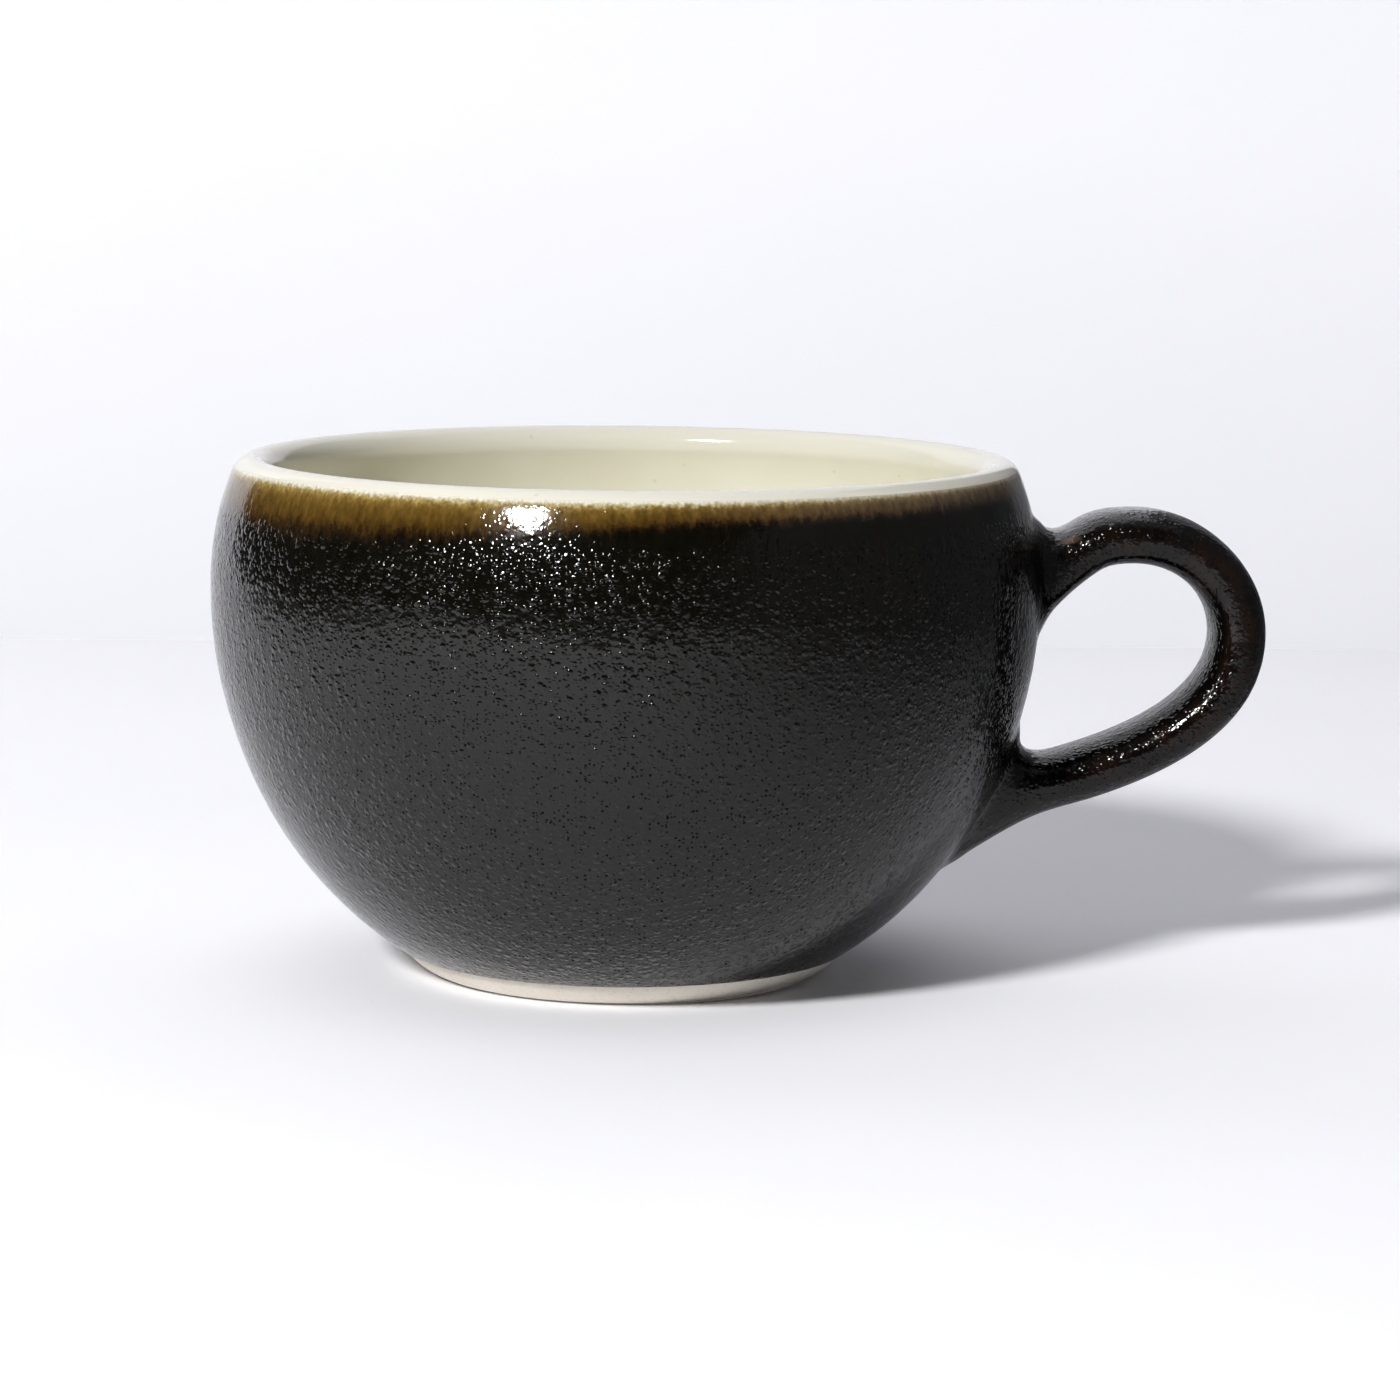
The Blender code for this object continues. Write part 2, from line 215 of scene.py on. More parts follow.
# %% Finish of the paper and card
PAPER_CLOUDS = 90 * MM
PAPER_RISE = 0.03 * MM  # height over the paper by which the wall is all card
GLOW_START = -100 * MM  # along y
FLOOR_GLOW = (0.15, 0.22)  # in front and at the back
WALL_GLOW = 0.10  # what the wall gains by its whole height in the frame
CARD_GLOW = 0.115  # what the grey card has more than the paper
WALL_SEEN = 115 * MM
# painted shade: the paper's glow fades round the foot, a shadow of the cup painted on the paper
CUP_SHADE = (25 * MM, 65 * MM)  # the cup keeps the glow from the paper round its foot
PEEPHOLE = 26.8 * MM  # radius of a hole in the paper under the foot, to see and light its recess

paper, tree = new_material("matt_white_paper")
place = add_node(tree, "TexCoord").outputs["Object"]
axes = add_node(tree, "SeparateXYZ", {"Vector": place}).outputs
clouds = add_node(tree, "TexNoise", {"Vector": place, "Scale": 1 / PAPER_CLOUDS, "Detail": 3})
white = add_node(tree, "ValToRGB", {"Fac": clouds}, [(0.3, "#F2F2F6"), (0.7, "#F5F5F8")])
on_wall = add_node(tree, "MapRange", {"Value": axes["Z"], FROM: (-PAPER_DROP, PAPER_RISE - PAPER_DROP)})
card = add_node(tree, "Mix", {0: on_wall, 6: white, 7: linear("#C6C6CB")}, data_type="RGBA")
sheet = add_node(tree, "BsdfDiffuse", {"Color": card})

# the glow, for rays from the eye and from mirrors
rays = add_node(tree, "LightPath").outputs
seen = add_node(tree, "Math", {0: rays["Is Camera Ray"], 1: rays["Is Glossy Ray"]}, operation="MAXIMUM")
seen = add_node(tree, "Math", {0: seen, 1: rays["Is Transmission Ray"]}, operation="MAXIMUM")
to_the_back = (GLOW_START, SWEEP_BACK)
floor_glow = add_node(tree, "MapRange", {"Value": axes["Y"], FROM: to_the_back, TO: FLOOR_GLOW})
wall_glow = add_node(tree, "MapRange", {"Value": axes["Z"], "From Max": WALL_SEEN, "To Max": WALL_GLOW})
card_glow = add_node(tree, "MapRange", {"Value": on_wall, "To Max": CARD_GLOW})
wall_glow = add_node(tree, "Math", {0: wall_glow, 1: card_glow}, operation="ADD")
glow = add_node(tree, "Math", {0: floor_glow, 1: wall_glow}, operation="ADD")
# painted shade round the foot: the glow falls away near the cup
from_cup = add_node(tree, "VectorMath", {0: place, 1: BOWL_AXIS}, operation="DISTANCE")
clear_of_cup = add_node(tree, "MapRange", {"Value": from_cup, FROM: CUP_SHADE}, **SMOOTH)
glow = add_node(tree, "Math", {0: glow, 1: clear_of_cup}, operation="MULTIPLY")
glow = add_node(tree, "Math", {0: seen, 1: glow}, operation="MULTIPLY")
shine = add_node(tree, "Emission", {"Color": white, "Strength": glow})
lit = add_node(tree, "AddShader", {0: sheet, 1: shine})

# clear from behind and under the foot
behind = add_node(tree, "NewGeometry").outputs["Backfacing"]
under_foot = add_node(tree, "Math", {0: from_cup, 1: PEEPHOLE}, operation="LESS_THAN")
see_through = add_node(tree, "Math", {0: behind, 1: under_foot}, operation="MAXIMUM")
clear = add_node(tree, "BsdfTransparent")
either = add_node(tree, "MixShader", {0: see_through, 1: lit, 2: clear})
add_node(tree, "OutputMaterial", {"Surface": either})
sweep_mesh.materials.append(paper)
print("finish:", paper.name)

# %% [markdown]
# ## Studio light
# One small lamp stands high to the left of the camera: its mirror image on the shoulder gives its
# direction, and the way the shadow spreads gives its distance. Its level is worked out from the
# light that should fall on the cup, so that moving the lamp doesn't change the exposure.

# %% Lamp
LIT_SPOT = BOWL_AXIS + Vector((-12, -52, 65)) * MM  # where the lamp is mirrored on the shoulder
KEY_AZIMUTH = math.radians(31.75)  # left of the camera's side
KEY_ELEVATION = math.radians(33.7)
KEY_DISTANCE = 1480 * MM
KEY_WIDTH = 230 * MM
KEY_LEVEL = 3.9  # light falling on a card that faces the lamp, in watts per square metre

key_direction = Vector(
    (
        -math.sin(KEY_AZIMUTH) * math.cos(KEY_ELEVATION),
        -math.cos(KEY_AZIMUTH) * math.cos(KEY_ELEVATION),
        math.sin(KEY_ELEVATION),
    )
)
key_data = bpy.data.lights.new("key", "AREA")
key_data.shape = "DISK"
key_data.size = KEY_WIDTH
key_data.energy = KEY_LEVEL * math.pi * KEY_DISTANCE**2
key = in_scene("key", key_data)
key.location = LIT_SPOT + KEY_DISTANCE * key_direction
key.rotation_euler = key_direction.to_track_quat("Z", "Y").to_euler()
print("key lamp at", [round(value / MM) for value in key.location], "mm,", round(key_data.energy, 1), "W")

# %% [markdown]
# ## Cloth that only the glaze sees
# A glossy glaze looks like what it mirrors. The cloth here is a painted reflection: the camera doesn't
# see it and it casts no shadow, only mirrors see it. A black flag stands on the left, two graded grey
# cards close on the right, and a fine black net lies over the floor there, denser towards the cards,
# so that the mirrored paper dims to the right as painted shade. The front card thins towards the
# camera, so that its end isn't mirrored as a line. Dark cloth ends the mirrored paper in front and at
# the left.

# %% Cloth
FLAG = ((-400, -60, 35), (-400, 400, 35), (-400, 400, 700), (-400, -60, 700))  # corners, in mm
FRONT_CARD = ((115, -420, 0), (115, 20, 0), (115, 20, 160), (115, -420, 160))
BACK_CARD = ((115, 20, 0), (115, 400, 0), (115, 400, 300), (115, 20, 300))
NET = ((-25, -320, 0.4), (115, -320, 0.4), (115, 330, 0.4), (-25, 330, 0.4))
FRONT_CLOTH = ((-1500, -1500, 0.4), (1500, -1500, 0.4), (1500, -320, 0.4), (-1500, -320, 0.4))
LEFT_CLOTH = ((-1500, -320, 0.4), (-345, -320, 0.4), (-345, 330, 0.4), (-1500, 330, 0.4))
NET_DENSITY = 0.62  # at the cards
LEFT_DENSITY = 0.9
BLACK = [(0.0, "#0A0A0A"), (1.0, "#121212")]
FLUFF_SIZE = 8 * MM
FLUFF_SHARE = 0.08  # how much of its noise colours the cloth


def cloth(name, corners, grading, stops, closing=None, dense=1.0):
    """A piece of cloth for mirrors only, a painted reflection graded along an axis between two places.

    Where it has a closing, an axis and two places as well, it is a net that gets denser along it.
    """
    finish, tree = new_material(name)
    place = add_node(tree, "TexCoord").outputs["Object"]
    axes = add_node(tree, "SeparateXYZ", {"Vector": place}).outputs

    def share_along(axis, first, last):
        """How far a place lies along an axis, from 0 at the first place to 1 at the last."""
        return add_node(tree, "MapRange", {"Value": axes[axis], FROM: (first * MM, last * MM)})

    fluff = add_node(tree, "TexNoise", {"Vector": place, "Scale": 1 / FLUFF_SIZE, "Detail": 2})
    tone = add_node(tree, "ValToRGB", {"Fac": share_along(*grading)}, stops)
    worn = add_node(tree, "Mix", {0: FLUFF_SHARE, 6: tone, 7: fluff.outputs["Color"]}, data_type="RGBA")
    surface = add_node(tree, "BsdfDiffuse", {"Color": worn})
    if closing:
        closed = add_node(tree, "Math", {0: share_along(*closing), 1: dense}, operation="MULTIPLY")
        hole = add_node(tree, "BsdfTransparent")
        surface = add_node(tree, "MixShader", {0: closed, 1: hole, 2: surface})
    add_node(tree, "OutputMaterial", {"Surface": surface})
    mesh = bpy.data.meshes.new(name)
    mesh.from_pydata([Vector(corner) * MM for corner in corners], [], [(0, 1, 2, 3)])
    mesh.materials.append(finish)
    made = in_scene(name, mesh)
    made.visible_camera = made.visible_diffuse = made.visible_shadow = False


# painted reflections: the glaze mirrors these greys at its sides; the graded cards and the net paint shade
# into what it mirrors on the right
cloth("black_flag", FLAG, ("Y", -60, 400), BLACK)
cloth("front_card", FRONT_CARD, ("Z", 5, 38), [(0.0, "#A4A4A6"), (1.0, "#444446")], ("Y", -420, -150))
# the back card's darker middle is painted shade in the mirrored right side
cloth("back_card", BACK_CARD, ("Y", 20, 120), [(0.0, "#3A3A3C"), (1.0, "#7C7C7E"), (0.5, "#323234")])
cloth("black_net", NET, ("X", -25, 115), BLACK, ("X", -25, 115), NET_DENSITY)
cloth("front_cloth", FRONT_CLOTH, ("Y", -320, -460), BLACK, ("Y", -320, -460))
cloth("left_cloth", LEFT_CLOTH, ("X", -345, -520), BLACK, ("X", -345, -520), LEFT_DENSITY)
print("cloth for mirrors: a flag, two cards, a net and two edges")

# %% [markdown]
# ## The room
# The room in front of the cup is dim, which leaves the glaze black above the paper's reflection, and
# light from above and behind fills the shadow. A plain gradient in the world does both. It also has
# light from straight below, which only the recess under the foot can see.

# %% Room
ROOM_UP = Vector((0.35, 0.62, 0.70))  # the bright side of the room
BELOW = (0.6, 0.7)  # cosine of the angle from straight down, where that light starts and is full

room = bpy.data.worlds.new("studio_room")
room.use_nodes = True
bpy.context.scene.world = room
tree = room.node_tree
tree.nodes.clear()
direction = add_node(tree, "TexCoord").outputs["Generated"]
upward = add_node(tree, "VectorMath", {0: direction, 1: ROOM_UP.normalized()}, operation="DOT_PRODUCT")
brightness = add_node(tree, "ValToRGB", {"Fac": upward}, [(0.2, "#161618"), (0.75, "#8C8C92")])
brightness.color_ramp.interpolation = "EASE"
downward = add_node(tree, "VectorMath", {0: direction, 1: (0, 0, -1)}, operation="DOT_PRODUCT")
below = add_node(tree, "MapRange", {"Value": downward, FROM: BELOW})
all_round = add_node(tree, "Mix", {0: below, 6: brightness, 7: linear("#C8C8CC")}, data_type="RGBA")
background = add_node(tree, "Background", {"Color": all_round, "Strength": 1.0})
add_node(tree, "OutputWorld", {"Surface": background})
print("room is bright towards", [round(value, 2) for value in ROOM_UP.normalized()])

# %% [markdown]
# ## The bowl's outline
# A thrown bowl is a form of revolution, so one outline holds it all. Each stretch of the outline
# gives points with their outward normal: an ellipse below the belly, an arc up to the lip, the
# round of the lip, and a full curve down the inside. Sinking the points along their normals gives
# the clay under a coat of glaze.

# %% Outline of the finished bowl
SHOULDER_MIDDLE = (SHOULDER_CENTRE, BELLY_HEIGHT)
FLANK_STEPS = 60
SHOULDER_STEPS = 20
LIP_STEPS = 30
WELL_STEPS = 90


def spread(first, last, steps):
    """Evenly spread values, both ends included."""
    return [first + (last - first) * step / steps for step in range(steps + 1)]


def flank_point(angle):
    """Below the belly, as (radius, height, normal)."""
    radius = BELLY_RADIUS - FLANK_ROUNDING * (1 - math.cos(angle))
    height = BELLY_HEIGHT - FLANK_DROP * math.sin(angle)
    normal = Vector((math.cos(angle) / FLANK_ROUNDING, -math.sin(angle) / FLANK_DROP))
    return radius, height, normal.normalized()


def arc_point(centre, radius, angle, side=1):
    """On a round stretch, as (radius, height, normal). Side -1 faces the centre."""
    outward = Vector((math.cos(angle), math.sin(angle)))
    return centre[0] + radius * outward.x, centre[1] + radius * outward.y, side * outward


def well_point(angle):
    """Inside below the belly, from the wall (0) to the middle of the floor (a right angle)."""
    power = 2 / WELL_FULLNESS
    across = max(math.cos(angle), 0) ** power
    fall = math.sin(angle) ** power
    well_radius = BELLY_RADIUS - WALL_THICKNESS
    well_depth = BELLY_HEIGHT - WELL_FLOOR_HEIGHT
    slope = (across ** (WELL_FULLNESS - 1) / well_radius, -(fall ** (WELL_FULLNESS - 1)) / well_depth)
    return across * well_radius, BELLY_HEIGHT - well_depth * fall, -Vector(slope).normalized()


def lip(first_angle):
    """Round the lip, from an angle on its outer side to the inside of the wall."""
    angles = spread(first_angle, LIP_ANGLE + math.pi, LIP_STEPS)
    return [arc_point(LIP_CENTRE, LIP_RADIUS, angle) for angle in angles]


def sunk(stations, depth):
    """The stations moved into the wall by a depth, as (radius, height) points."""
    return [(radius - depth * normal.x, height - depth * normal.y) for radius, height, normal in stations]


flank = [flank_point(angle) for angle in spread(FLANK_ANGLE, 0, FLANK_STEPS)[:-1]]
shoulder = [
    arc_point(SHOULDER_MIDDLE, SHOULDER_RADIUS, angle) for angle in spread(0, LIP_ANGLE, SHOULDER_STEPS)
]
inner_shoulder = [
    arc_point(SHOULDER_MIDDLE, SHOULDER_RADIUS - WALL_THICKNESS, angle, side=-1)
    for angle in spread(LIP_ANGLE, 0, SHOULDER_STEPS)[1:-1]
]
well = [well_point(angle) for angle in spread(0, math.pi / 2, WELL_STEPS)]
print("outline stations:", len(flank) + len(shoulder) + len(inner_shoulder) + len(well))

# %% [markdown]
# ## Turning on the wheel
# The Screw modifier spins an outline round Z just as a wheel does, and merges the points that meet
# on the axis. Its result is kept as a plain mesh, so that later steps can move single points. The
# object stands on the bowl's axis, which also gives its material coordinates that start there.

# %% Wheel
TURN_STEPS = 192
SHARP_EDGE = math.radians(50)
TINY = 0.001 * MM


def shown(name, mesh):
    """Put a mesh on the bowl's axis as a piece of the cup."""
    mesh.shade_smooth()
    mesh.set_sharp_from_angle(angle=SHARP_EDGE)
    made = in_scene(name, mesh)
    made.location = BOWL_AXIS
    return made


def with_modifiers(made, name):
    """The mesh that an object's modifiers give, with its faces turned outwards; the object goes."""
    graph = bpy.context.evaluated_depsgraph_get()
    mesh = bpy.data.meshes.new_from_object(made.evaluated_get(graph))
    bpy.data.objects.remove(made)
    mesh.name = name
    work = bmesh.new()
    work.from_mesh(mesh)
    bmesh.ops.recalc_face_normals(work, faces=work.faces)
    if work.calc_volume(signed=True) < 0:
        bmesh.ops.reverse_faces(work, faces=work.faces)
    work.to_mesh(mesh)
    work.free()
    return mesh


def points_and_normals(mesh):
    """A mesh's points and their normals, as two arrays of rows."""
    count = len(mesh.vertices)
    spots = np.zeros(count * 3)
    normals = np.zeros(count * 3)
    mesh.vertices.foreach_get("co", spots)
    mesh.vertices.foreach_get("normal", normals)
    return spots.reshape(-1, 3), normals.reshape(-1, 3)


def move_points(mesh, spots):
    """Give a mesh's points new places."""
    mesh.vertices.foreach_set("co", spots.ravel())
    mesh.update()


def turned(name, outline):
    """Spin an outline of (radius, height) points into a solid."""
    edges = [(index, index + 1) for index in range(len(outline) - 1)]
    line = bpy.data.meshes.new(name)
    line.from_pydata([(radius, 0, height) for radius, height in outline], edges, [])
    made = in_scene(name, line)
    screw = made.modifiers.new("Wheel", "SCREW")
    screw.steps = screw.render_steps = TURN_STEPS
    screw.use_merge_vertices = True
    screw.merge_threshold = TINY
    return with_modifiers(made, name)


print(f"one step of the wheel is {2 * math.pi * BELLY_RADIUS / TURN_STEPS / MM:.1f} mm at the belly")

# %% [markdown]
# ## The clay bowl
# Under the glaze the bowl is buff stoneware. It shows only at the foot, where the potter wiped the
# glaze away so that the cup wouldn't stick to the kiln shelf: a rounded bevel, a narrow ring that
# stands on the table, and a shallow recess cut with a turning tool. A sponge softened the edges.

# %% Clay bowl
CLAY_GAP = 0.03 * MM  # between the clay and the glaze on it
SPONGED_EDGE = 0.5 * MM
BEVEL_FULLNESS = 1.45  # 1 is a straight bevel, 2 a quarter round
BEVEL_TUCK = 0.4 * MM  # how far the bevel's round runs in under the foot
BEVEL_STEPS = 16
RECESS_CORNER = 1.8 * MM
RECESS_STEPS = 40
CORNER_STEPS = 8


def rounded(centre, radius, first_degrees, last_degrees):
    """Points round a small corner."""
    angles = [math.radians(degrees) for degrees in spread(first_degrees, last_degrees, CORNER_STEPS)]
    return [(centre[0] + radius * math.cos(a), centre[1] + radius * math.sin(a)) for a in angles]


clay_stations = flank + shoulder[:-1] + lip(LIP_ANGLE) + inner_shoulder + well
clay_outline = sunk(clay_stations, GLAZE_THICKNESS + CLAY_GAP)[::-1]
glaze_end = clay_outline[-1]
bevel_start = FOOT_RADIUS - BEVEL_TUCK
inner_radius = FOOT_RADIUS - FOOT_RING_WIDTH
for angle in spread(0, math.pi / 2, BEVEL_STEPS)[1:]:
    out = (glaze_end[0] - bevel_start) * max(math.cos(angle), 0) ** (2 / BEVEL_FULLNESS)
    fall = glaze_end[1] * math.sin(angle) ** (2 / BEVEL_FULLNESS)
    clay_outline.append((bevel_start + out, glaze_end[1] - fall))
clay_outline += rounded((inner_radius + SPONGED_EDGE, SPONGED_EDGE), SPONGED_EDGE, -90, -180)
recess_centre = (inner_radius - RECESS_CORNER, FOOT_RECESS_DEPTH - RECESS_CORNER)
clay_outline += rounded(recess_centre, RECESS_CORNER, 0, 90)
clay_outline += [(radius, FOOT_RECESS_DEPTH) for radius in spread(recess_centre[0], 0, RECESS_STEPS)[1:]]
clay_bowl = shown("clay_bowl", turned("clay_bowl", clay_outline))
print("clay bowl faces:", len(clay_bowl.data.polygons))

# %% [markdown]
# ## The liner glaze
# A pale glaze was poured in, swirled and poured out, and it runs over the lip. It is its own thin
# closed coat. A thrown well keeps a trace of the fingers as a slow spiral, which is laid on here by
# moving the points of the inner face a few hundredths of a millimetre, fading out up the wall.

# %% Liner glaze
SEAM_ANGLE = math.radians(36)  # on the lip's outer round, where the two glazes meet
SEAM_GAP = 0.02 * MM
SPIRAL_PITCH = 6.5 * MM
SPIRAL_HEIGHT = 0.03 * MM
SPIRAL_TOP = 34 * MM

liner_stations = lip(SEAM_ANGLE + SEAM_GAP / LIP_RADIUS) + inner_shoulder + well
liner_outline = sunk(liner_stations, 0)[::-1] + sunk(liner_stations, GLAZE_THICKNESS)
liner_mesh = turned("liner_coat", liner_outline)
spots, normals = points_and_normals(liner_mesh)
radius = np.hypot(spots[:, 0], spots[:, 1])
inward = (normals[:, 2] > 0) & (spots[:, 2] < SPIRAL_TOP)
travel = np.hypot(radius, spots[:, 2] - WELL_FLOOR_HEIGHT)
phase = 2 * math.pi * travel / SPIRAL_PITCH - np.arctan2(spots[:, 1], spots[:, 0])
fade = np.minimum(travel / SPIRAL_PITCH, 1) * (1 - spots[:, 2] / SPIRAL_TOP)
spots[:, 2] += SPIRAL_HEIGHT * np.where(inward, fade * np.sin(phase), 0)
move_points(liner_mesh, spots)
liner_coat = shown("liner_coat", liner_mesh)
print("liner coat faces:", len(liner_coat.data.polygons))

# %% [markdown]
# ## The strap of the handle
# A handle is pulled from a lump of wet clay into a long strap, bent over and pressed to the wall.
# Three smooth stretches of curve lay its middle line: from the upper root over the crest, round the
# bow and back to the wall. The line starts and ends a little inside the wall.

# %% Middle line of the strap
HALF_THICKNESS = 7.6 * MM / 2
CREST = Vector((BELLY_RADIUS + 13 * MM, 0, BELLY_HEIGHT + 11 * MM - HALF_THICKNESS))
BOW = Vector((BELLY_RADIUS + HANDLE_STANDOUT - HALF_THICKNESS, 0, BELLY_HEIGHT - 6.5 * MM))
CREST_PULL = 6.9 * MM
BOW_PULL = 10.7 * MM
UPPER_HEIGHT = BELLY_HEIGHT + 1.8 * MM
LOWER_HEIGHT = BELLY_HEIGHT - 29.3 * MM
UPPER_CLIMB = math.radians(26)
LOWER_CLIMB = math.radians(11)
UPPER_PULL = 8 * MM
LOWER_PULL = 23 * MM
ROOT_BURY = 6 * MM
STRAP_RINGS = 240
LEVEL = Vector((1, 0, 0))
UPRIGHT = Vector((0, 0, 1))
QUARTER = 4 / 3 * math.tan(math.pi / 8)  # makes one stretch of curve a quarter of an ellipse


def wall_radius(height):
    """Radius of the finished bowl at a height."""
    rise = height - BELLY_HEIGHT
    if rise >= 0:
        return SHOULDER_CENTRE + math.sqrt(SHOULDER_RADIUS**2 - rise**2)
    return BELLY_RADIUS - FLANK_ROUNDING * (1 - math.sqrt(1 - (rise / FLANK_DROP) ** 2))


upper = Vector((wall_radius(UPPER_HEIGHT), 0, UPPER_HEIGHT))
lower = Vector((wall_radius(LOWER_HEIGHT), 0, LOWER_HEIGHT))
leaving = Vector((math.cos(UPPER_CLIMB), 0, math.sin(UPPER_CLIMB)))
arriving = Vector((math.cos(LOWER_CLIMB), 0, math.sin(LOWER_CLIMB)))
stretches = (
    (upper, upper + UPPER_PULL * leaving, CREST - CREST_PULL * LEVEL, CREST),
    (CREST, CREST + QUARTER * (BOW.x - CREST.x) * LEVEL, BOW + QUARTER * (CREST.z - BOW.z) * UPRIGHT, BOW),
    (BOW, BOW - BOW_PULL * UPRIGHT, lower + LOWER_PULL * arriving, lower),
)
middle = [upper - ROOT_BURY * leaving]
for stretch in stretches:
    middle += interpolate_bezier(*stretch, STRAP_RINGS)[:-1]
middle = np.array([*middle, lower, lower - ROOT_BURY * arriving])
travelled = np.concatenate([[0], np.cumsum(np.linalg.norm(np.diff(middle, axis=0), axis=1))])
STRAP_LENGTH = float(travelled[-1])
print(f"strap {(STRAP_LENGTH - 2 * ROOT_BURY) / MM:.0f} mm long along its middle")

# %% [markdown]
# ## The strap's section
# A rounded oblong is carried along the middle line. Near each root it swells, and it leans to lie
# along the wall, as clay does when a thumb smears it down.

# %% Sections of the strap
HALF_WIDTH = 15.5 * MM / 2
STRAP_SQUARENESS = 2.6
# each root's reach along the wall outside and inside the bend, half its width, and its flare's length
UPPER_ROOT = (7.1 * MM, 7.1 * MM, 8.75 * MM, 9 * MM)
LOWER_ROOT = (10.7 * MM, 10.6 * MM, 8.4 * MM, 12 * MM)
FLARE_POWER = 3
LEAN_LENGTH = 16 * MM
LEAN_POWER = 1.5
STRAP_POINTS = 96


def up_the_wall(height):
    """Direction straight up the finished wall at a height."""
    step = 0.1 * MM
    return Vector((wall_radius(height + step) - wall_radius(height - step), 0, 2 * step)).normalized()


def along(distance):
    """The point of the middle line at a distance from its buried start."""
    return Vector([float(np.interp(distance, travelled, middle[:, i])) for i in range(3)])


def strap_ring(distance):
    """The section of the strap at a distance, as a list of points."""
    nudge = 0.7 * MM
    tangent = (along(distance + nudge) - along(distance - nudge)).normalized()
    across = Vector((-tangent.z, 0, tangent.x))
    from_upper = distance - ROOT_BURY
    from_lower = STRAP_LENGTH - ROOT_BURY - distance
    if from_upper < from_lower:
        root, up, side = UPPER_ROOT, up_the_wall(UPPER_HEIGHT), 1
    else:
        root, up, side = LOWER_ROOT, up_the_wall(LOWER_HEIGHT), -1
    outer_reach, inner_reach, half_width, flare_length = root
    away = max(min(from_upper, from_lower), 0)
    flare = max(1 - away / flare_length, 0) ** FLARE_POWER
    lean = max(1 - away / LEAN_LENGTH, 0) ** LEAN_POWER
    wide = HALF_WIDTH + flare * (half_width - HALF_WIDTH)
    across = across.lerp(side * up, lean).normalized()
    into_wall = Vector((-up.z, 0, up.x))
    centre = along(distance)
    ring = []
    for angle in spread(0, 2 * math.pi, STRAP_POINTS)[:-1]:
        reach = math.copysign(abs(math.cos(angle)) ** (2 / STRAP_SQUARENESS), math.cos(angle))
        breadth = math.copysign(abs(math.sin(angle)) ** (2 / STRAP_SQUARENESS), math.sin(angle))
        full = outer_reach if reach > 0 else inner_reach
        out = reach * (HALF_THICKNESS + flare * (full - HALF_THICKNESS))
        hug = flare * min(out, 0) ** 2 / (2 * FLANK_ROUNDING)  # the inner end bends with the wall
        ring.append(centre + out * across + hug * into_wall + Vector((0, breadth * wide, 0)))
    return ring


strap_points = []
for distance in spread(0, STRAP_LENGTH, STRAP_RINGS - 1):
    strap_points += strap_ring(distance)
strap_faces = []
for ring in range(STRAP_RINGS - 1):
    near, far = ring * STRAP_POINTS, (ring + 1) * STRAP_POINTS
    for point in range(STRAP_POINTS):
        after = (point + 1) % STRAP_POINTS
        strap_faces.append((near + point, far + point, far + after, near + after))
strap_end = (STRAP_RINGS - 1) * STRAP_POINTS
strap_faces.append(tuple(range(STRAP_POINTS)))
strap_faces.append(tuple(reversed(range(strap_end, strap_end + STRAP_POINTS))))
print("strap faces:", len(strap_faces))

# %% [markdown]
# ## One skin of dark glaze
# The cup was held by its foot and dipped, so one coat runs over the wall and round the handle, and
# it pools softly in the corners. A Boolean would leave a hard crease there. Instead, wall and strap
# are first remeshed together into even small faces.

# %% Wall and strap in one mesh
VOXEL = 0.95 * MM
UNDERCUT = 0.12  # radians by which the block runs on below the glaze line
UNDERCUT_STEPS = 10
TOP_STEPS = 16

low_angles = spread(FLANK_ANGLE + UNDERCUT, FLANK_ANGLE, UNDERCUT_STEPS)[:-1]
top_angles = spread(LIP_ANGLE, math.pi / 2, TOP_STEPS)[1:]
below_line = [flank_point(angle) for angle in low_angles]
round_top = [arc_point(LIP_CENTRE, LIP_RADIUS, angle) for angle in top_angles]
block_outline = sunk(below_line + flank + shoulder + round_top, 0)
block_outline = [(0, block_outline[0][1]), *block_outline, (0, block_outline[-1][1])]
block = turned("glaze_block", block_outline)

strap = bpy.data.meshes.new("strap")
strap.from_pydata(strap_points, [], strap_faces)
strap_tree = BVHTree.FromPolygons(strap_points, strap_faces)

both = bmesh.new()
both.from_mesh(block)
both.from_mesh(strap)
both.to_mesh(block)
both.free()
joined = in_scene("glaze_block", block)
remesh = joined.modifiers.new("Even faces", "REMESH")
remesh.mode = "VOXEL"
remesh.voxel_size = VOXEL
skin = with_modifiers(joined, "dark_coat")
print("even faces:", len(skin.polygons))

# %% [markdown]
# ## Melting the corners
# Each point is then moved on to a surface that is the nearer of wall and strap, with the two
# distances melted together where they are close. A point steps down the slope of that blended
# distance, and a few rounds bring it there.

# %% Melt the corners
CORNER_MELT = 2.4 * MM
MELT_ROUNDS = 5
LEAST_SLOPE = 0.25  # squared; keeps a step short where the blend is flat
STRAP_ZONE = (36 * MM, 20 * MM)  # the strap lies beyond the first along x, within the second along y
BURIED = 0.5 * MM  # depth in the wall from which the ends of the strap don't count
END_MARGIN = 0.3 * MM  # the flat ends of the block stay, because they are cut away later


def wall_distance(points):
    """How far points lie outside the finished bowl, in metres, good near its surface."""
    radius = np.hypot(points[:, 0], points[:, 1])
    out = radius - SHOULDER_CENTRE
    rise = points[:, 2] - BELLY_HEIGHT
    arc = np.hypot(out, rise) - SHOULDER_RADIUS
    cap = np.hypot(radius - LIP_CENTRE[0], points[:, 2] - LIP_CENTRE[1]) - LIP_RADIUS
    above = np.where(np.arctan2(rise, out) > LIP_ANGLE, cap, arc)
    level = radius - (BELLY_RADIUS - FLANK_ROUNDING)
    size = np.hypot(level / FLANK_ROUNDING, rise / FLANK_DROP)
    slope = np.hypot(level / FLANK_ROUNDING**2, rise / FLANK_DROP**2)
    below = size * (size - 1) / slope
    return np.where(rise > 0, above, below)


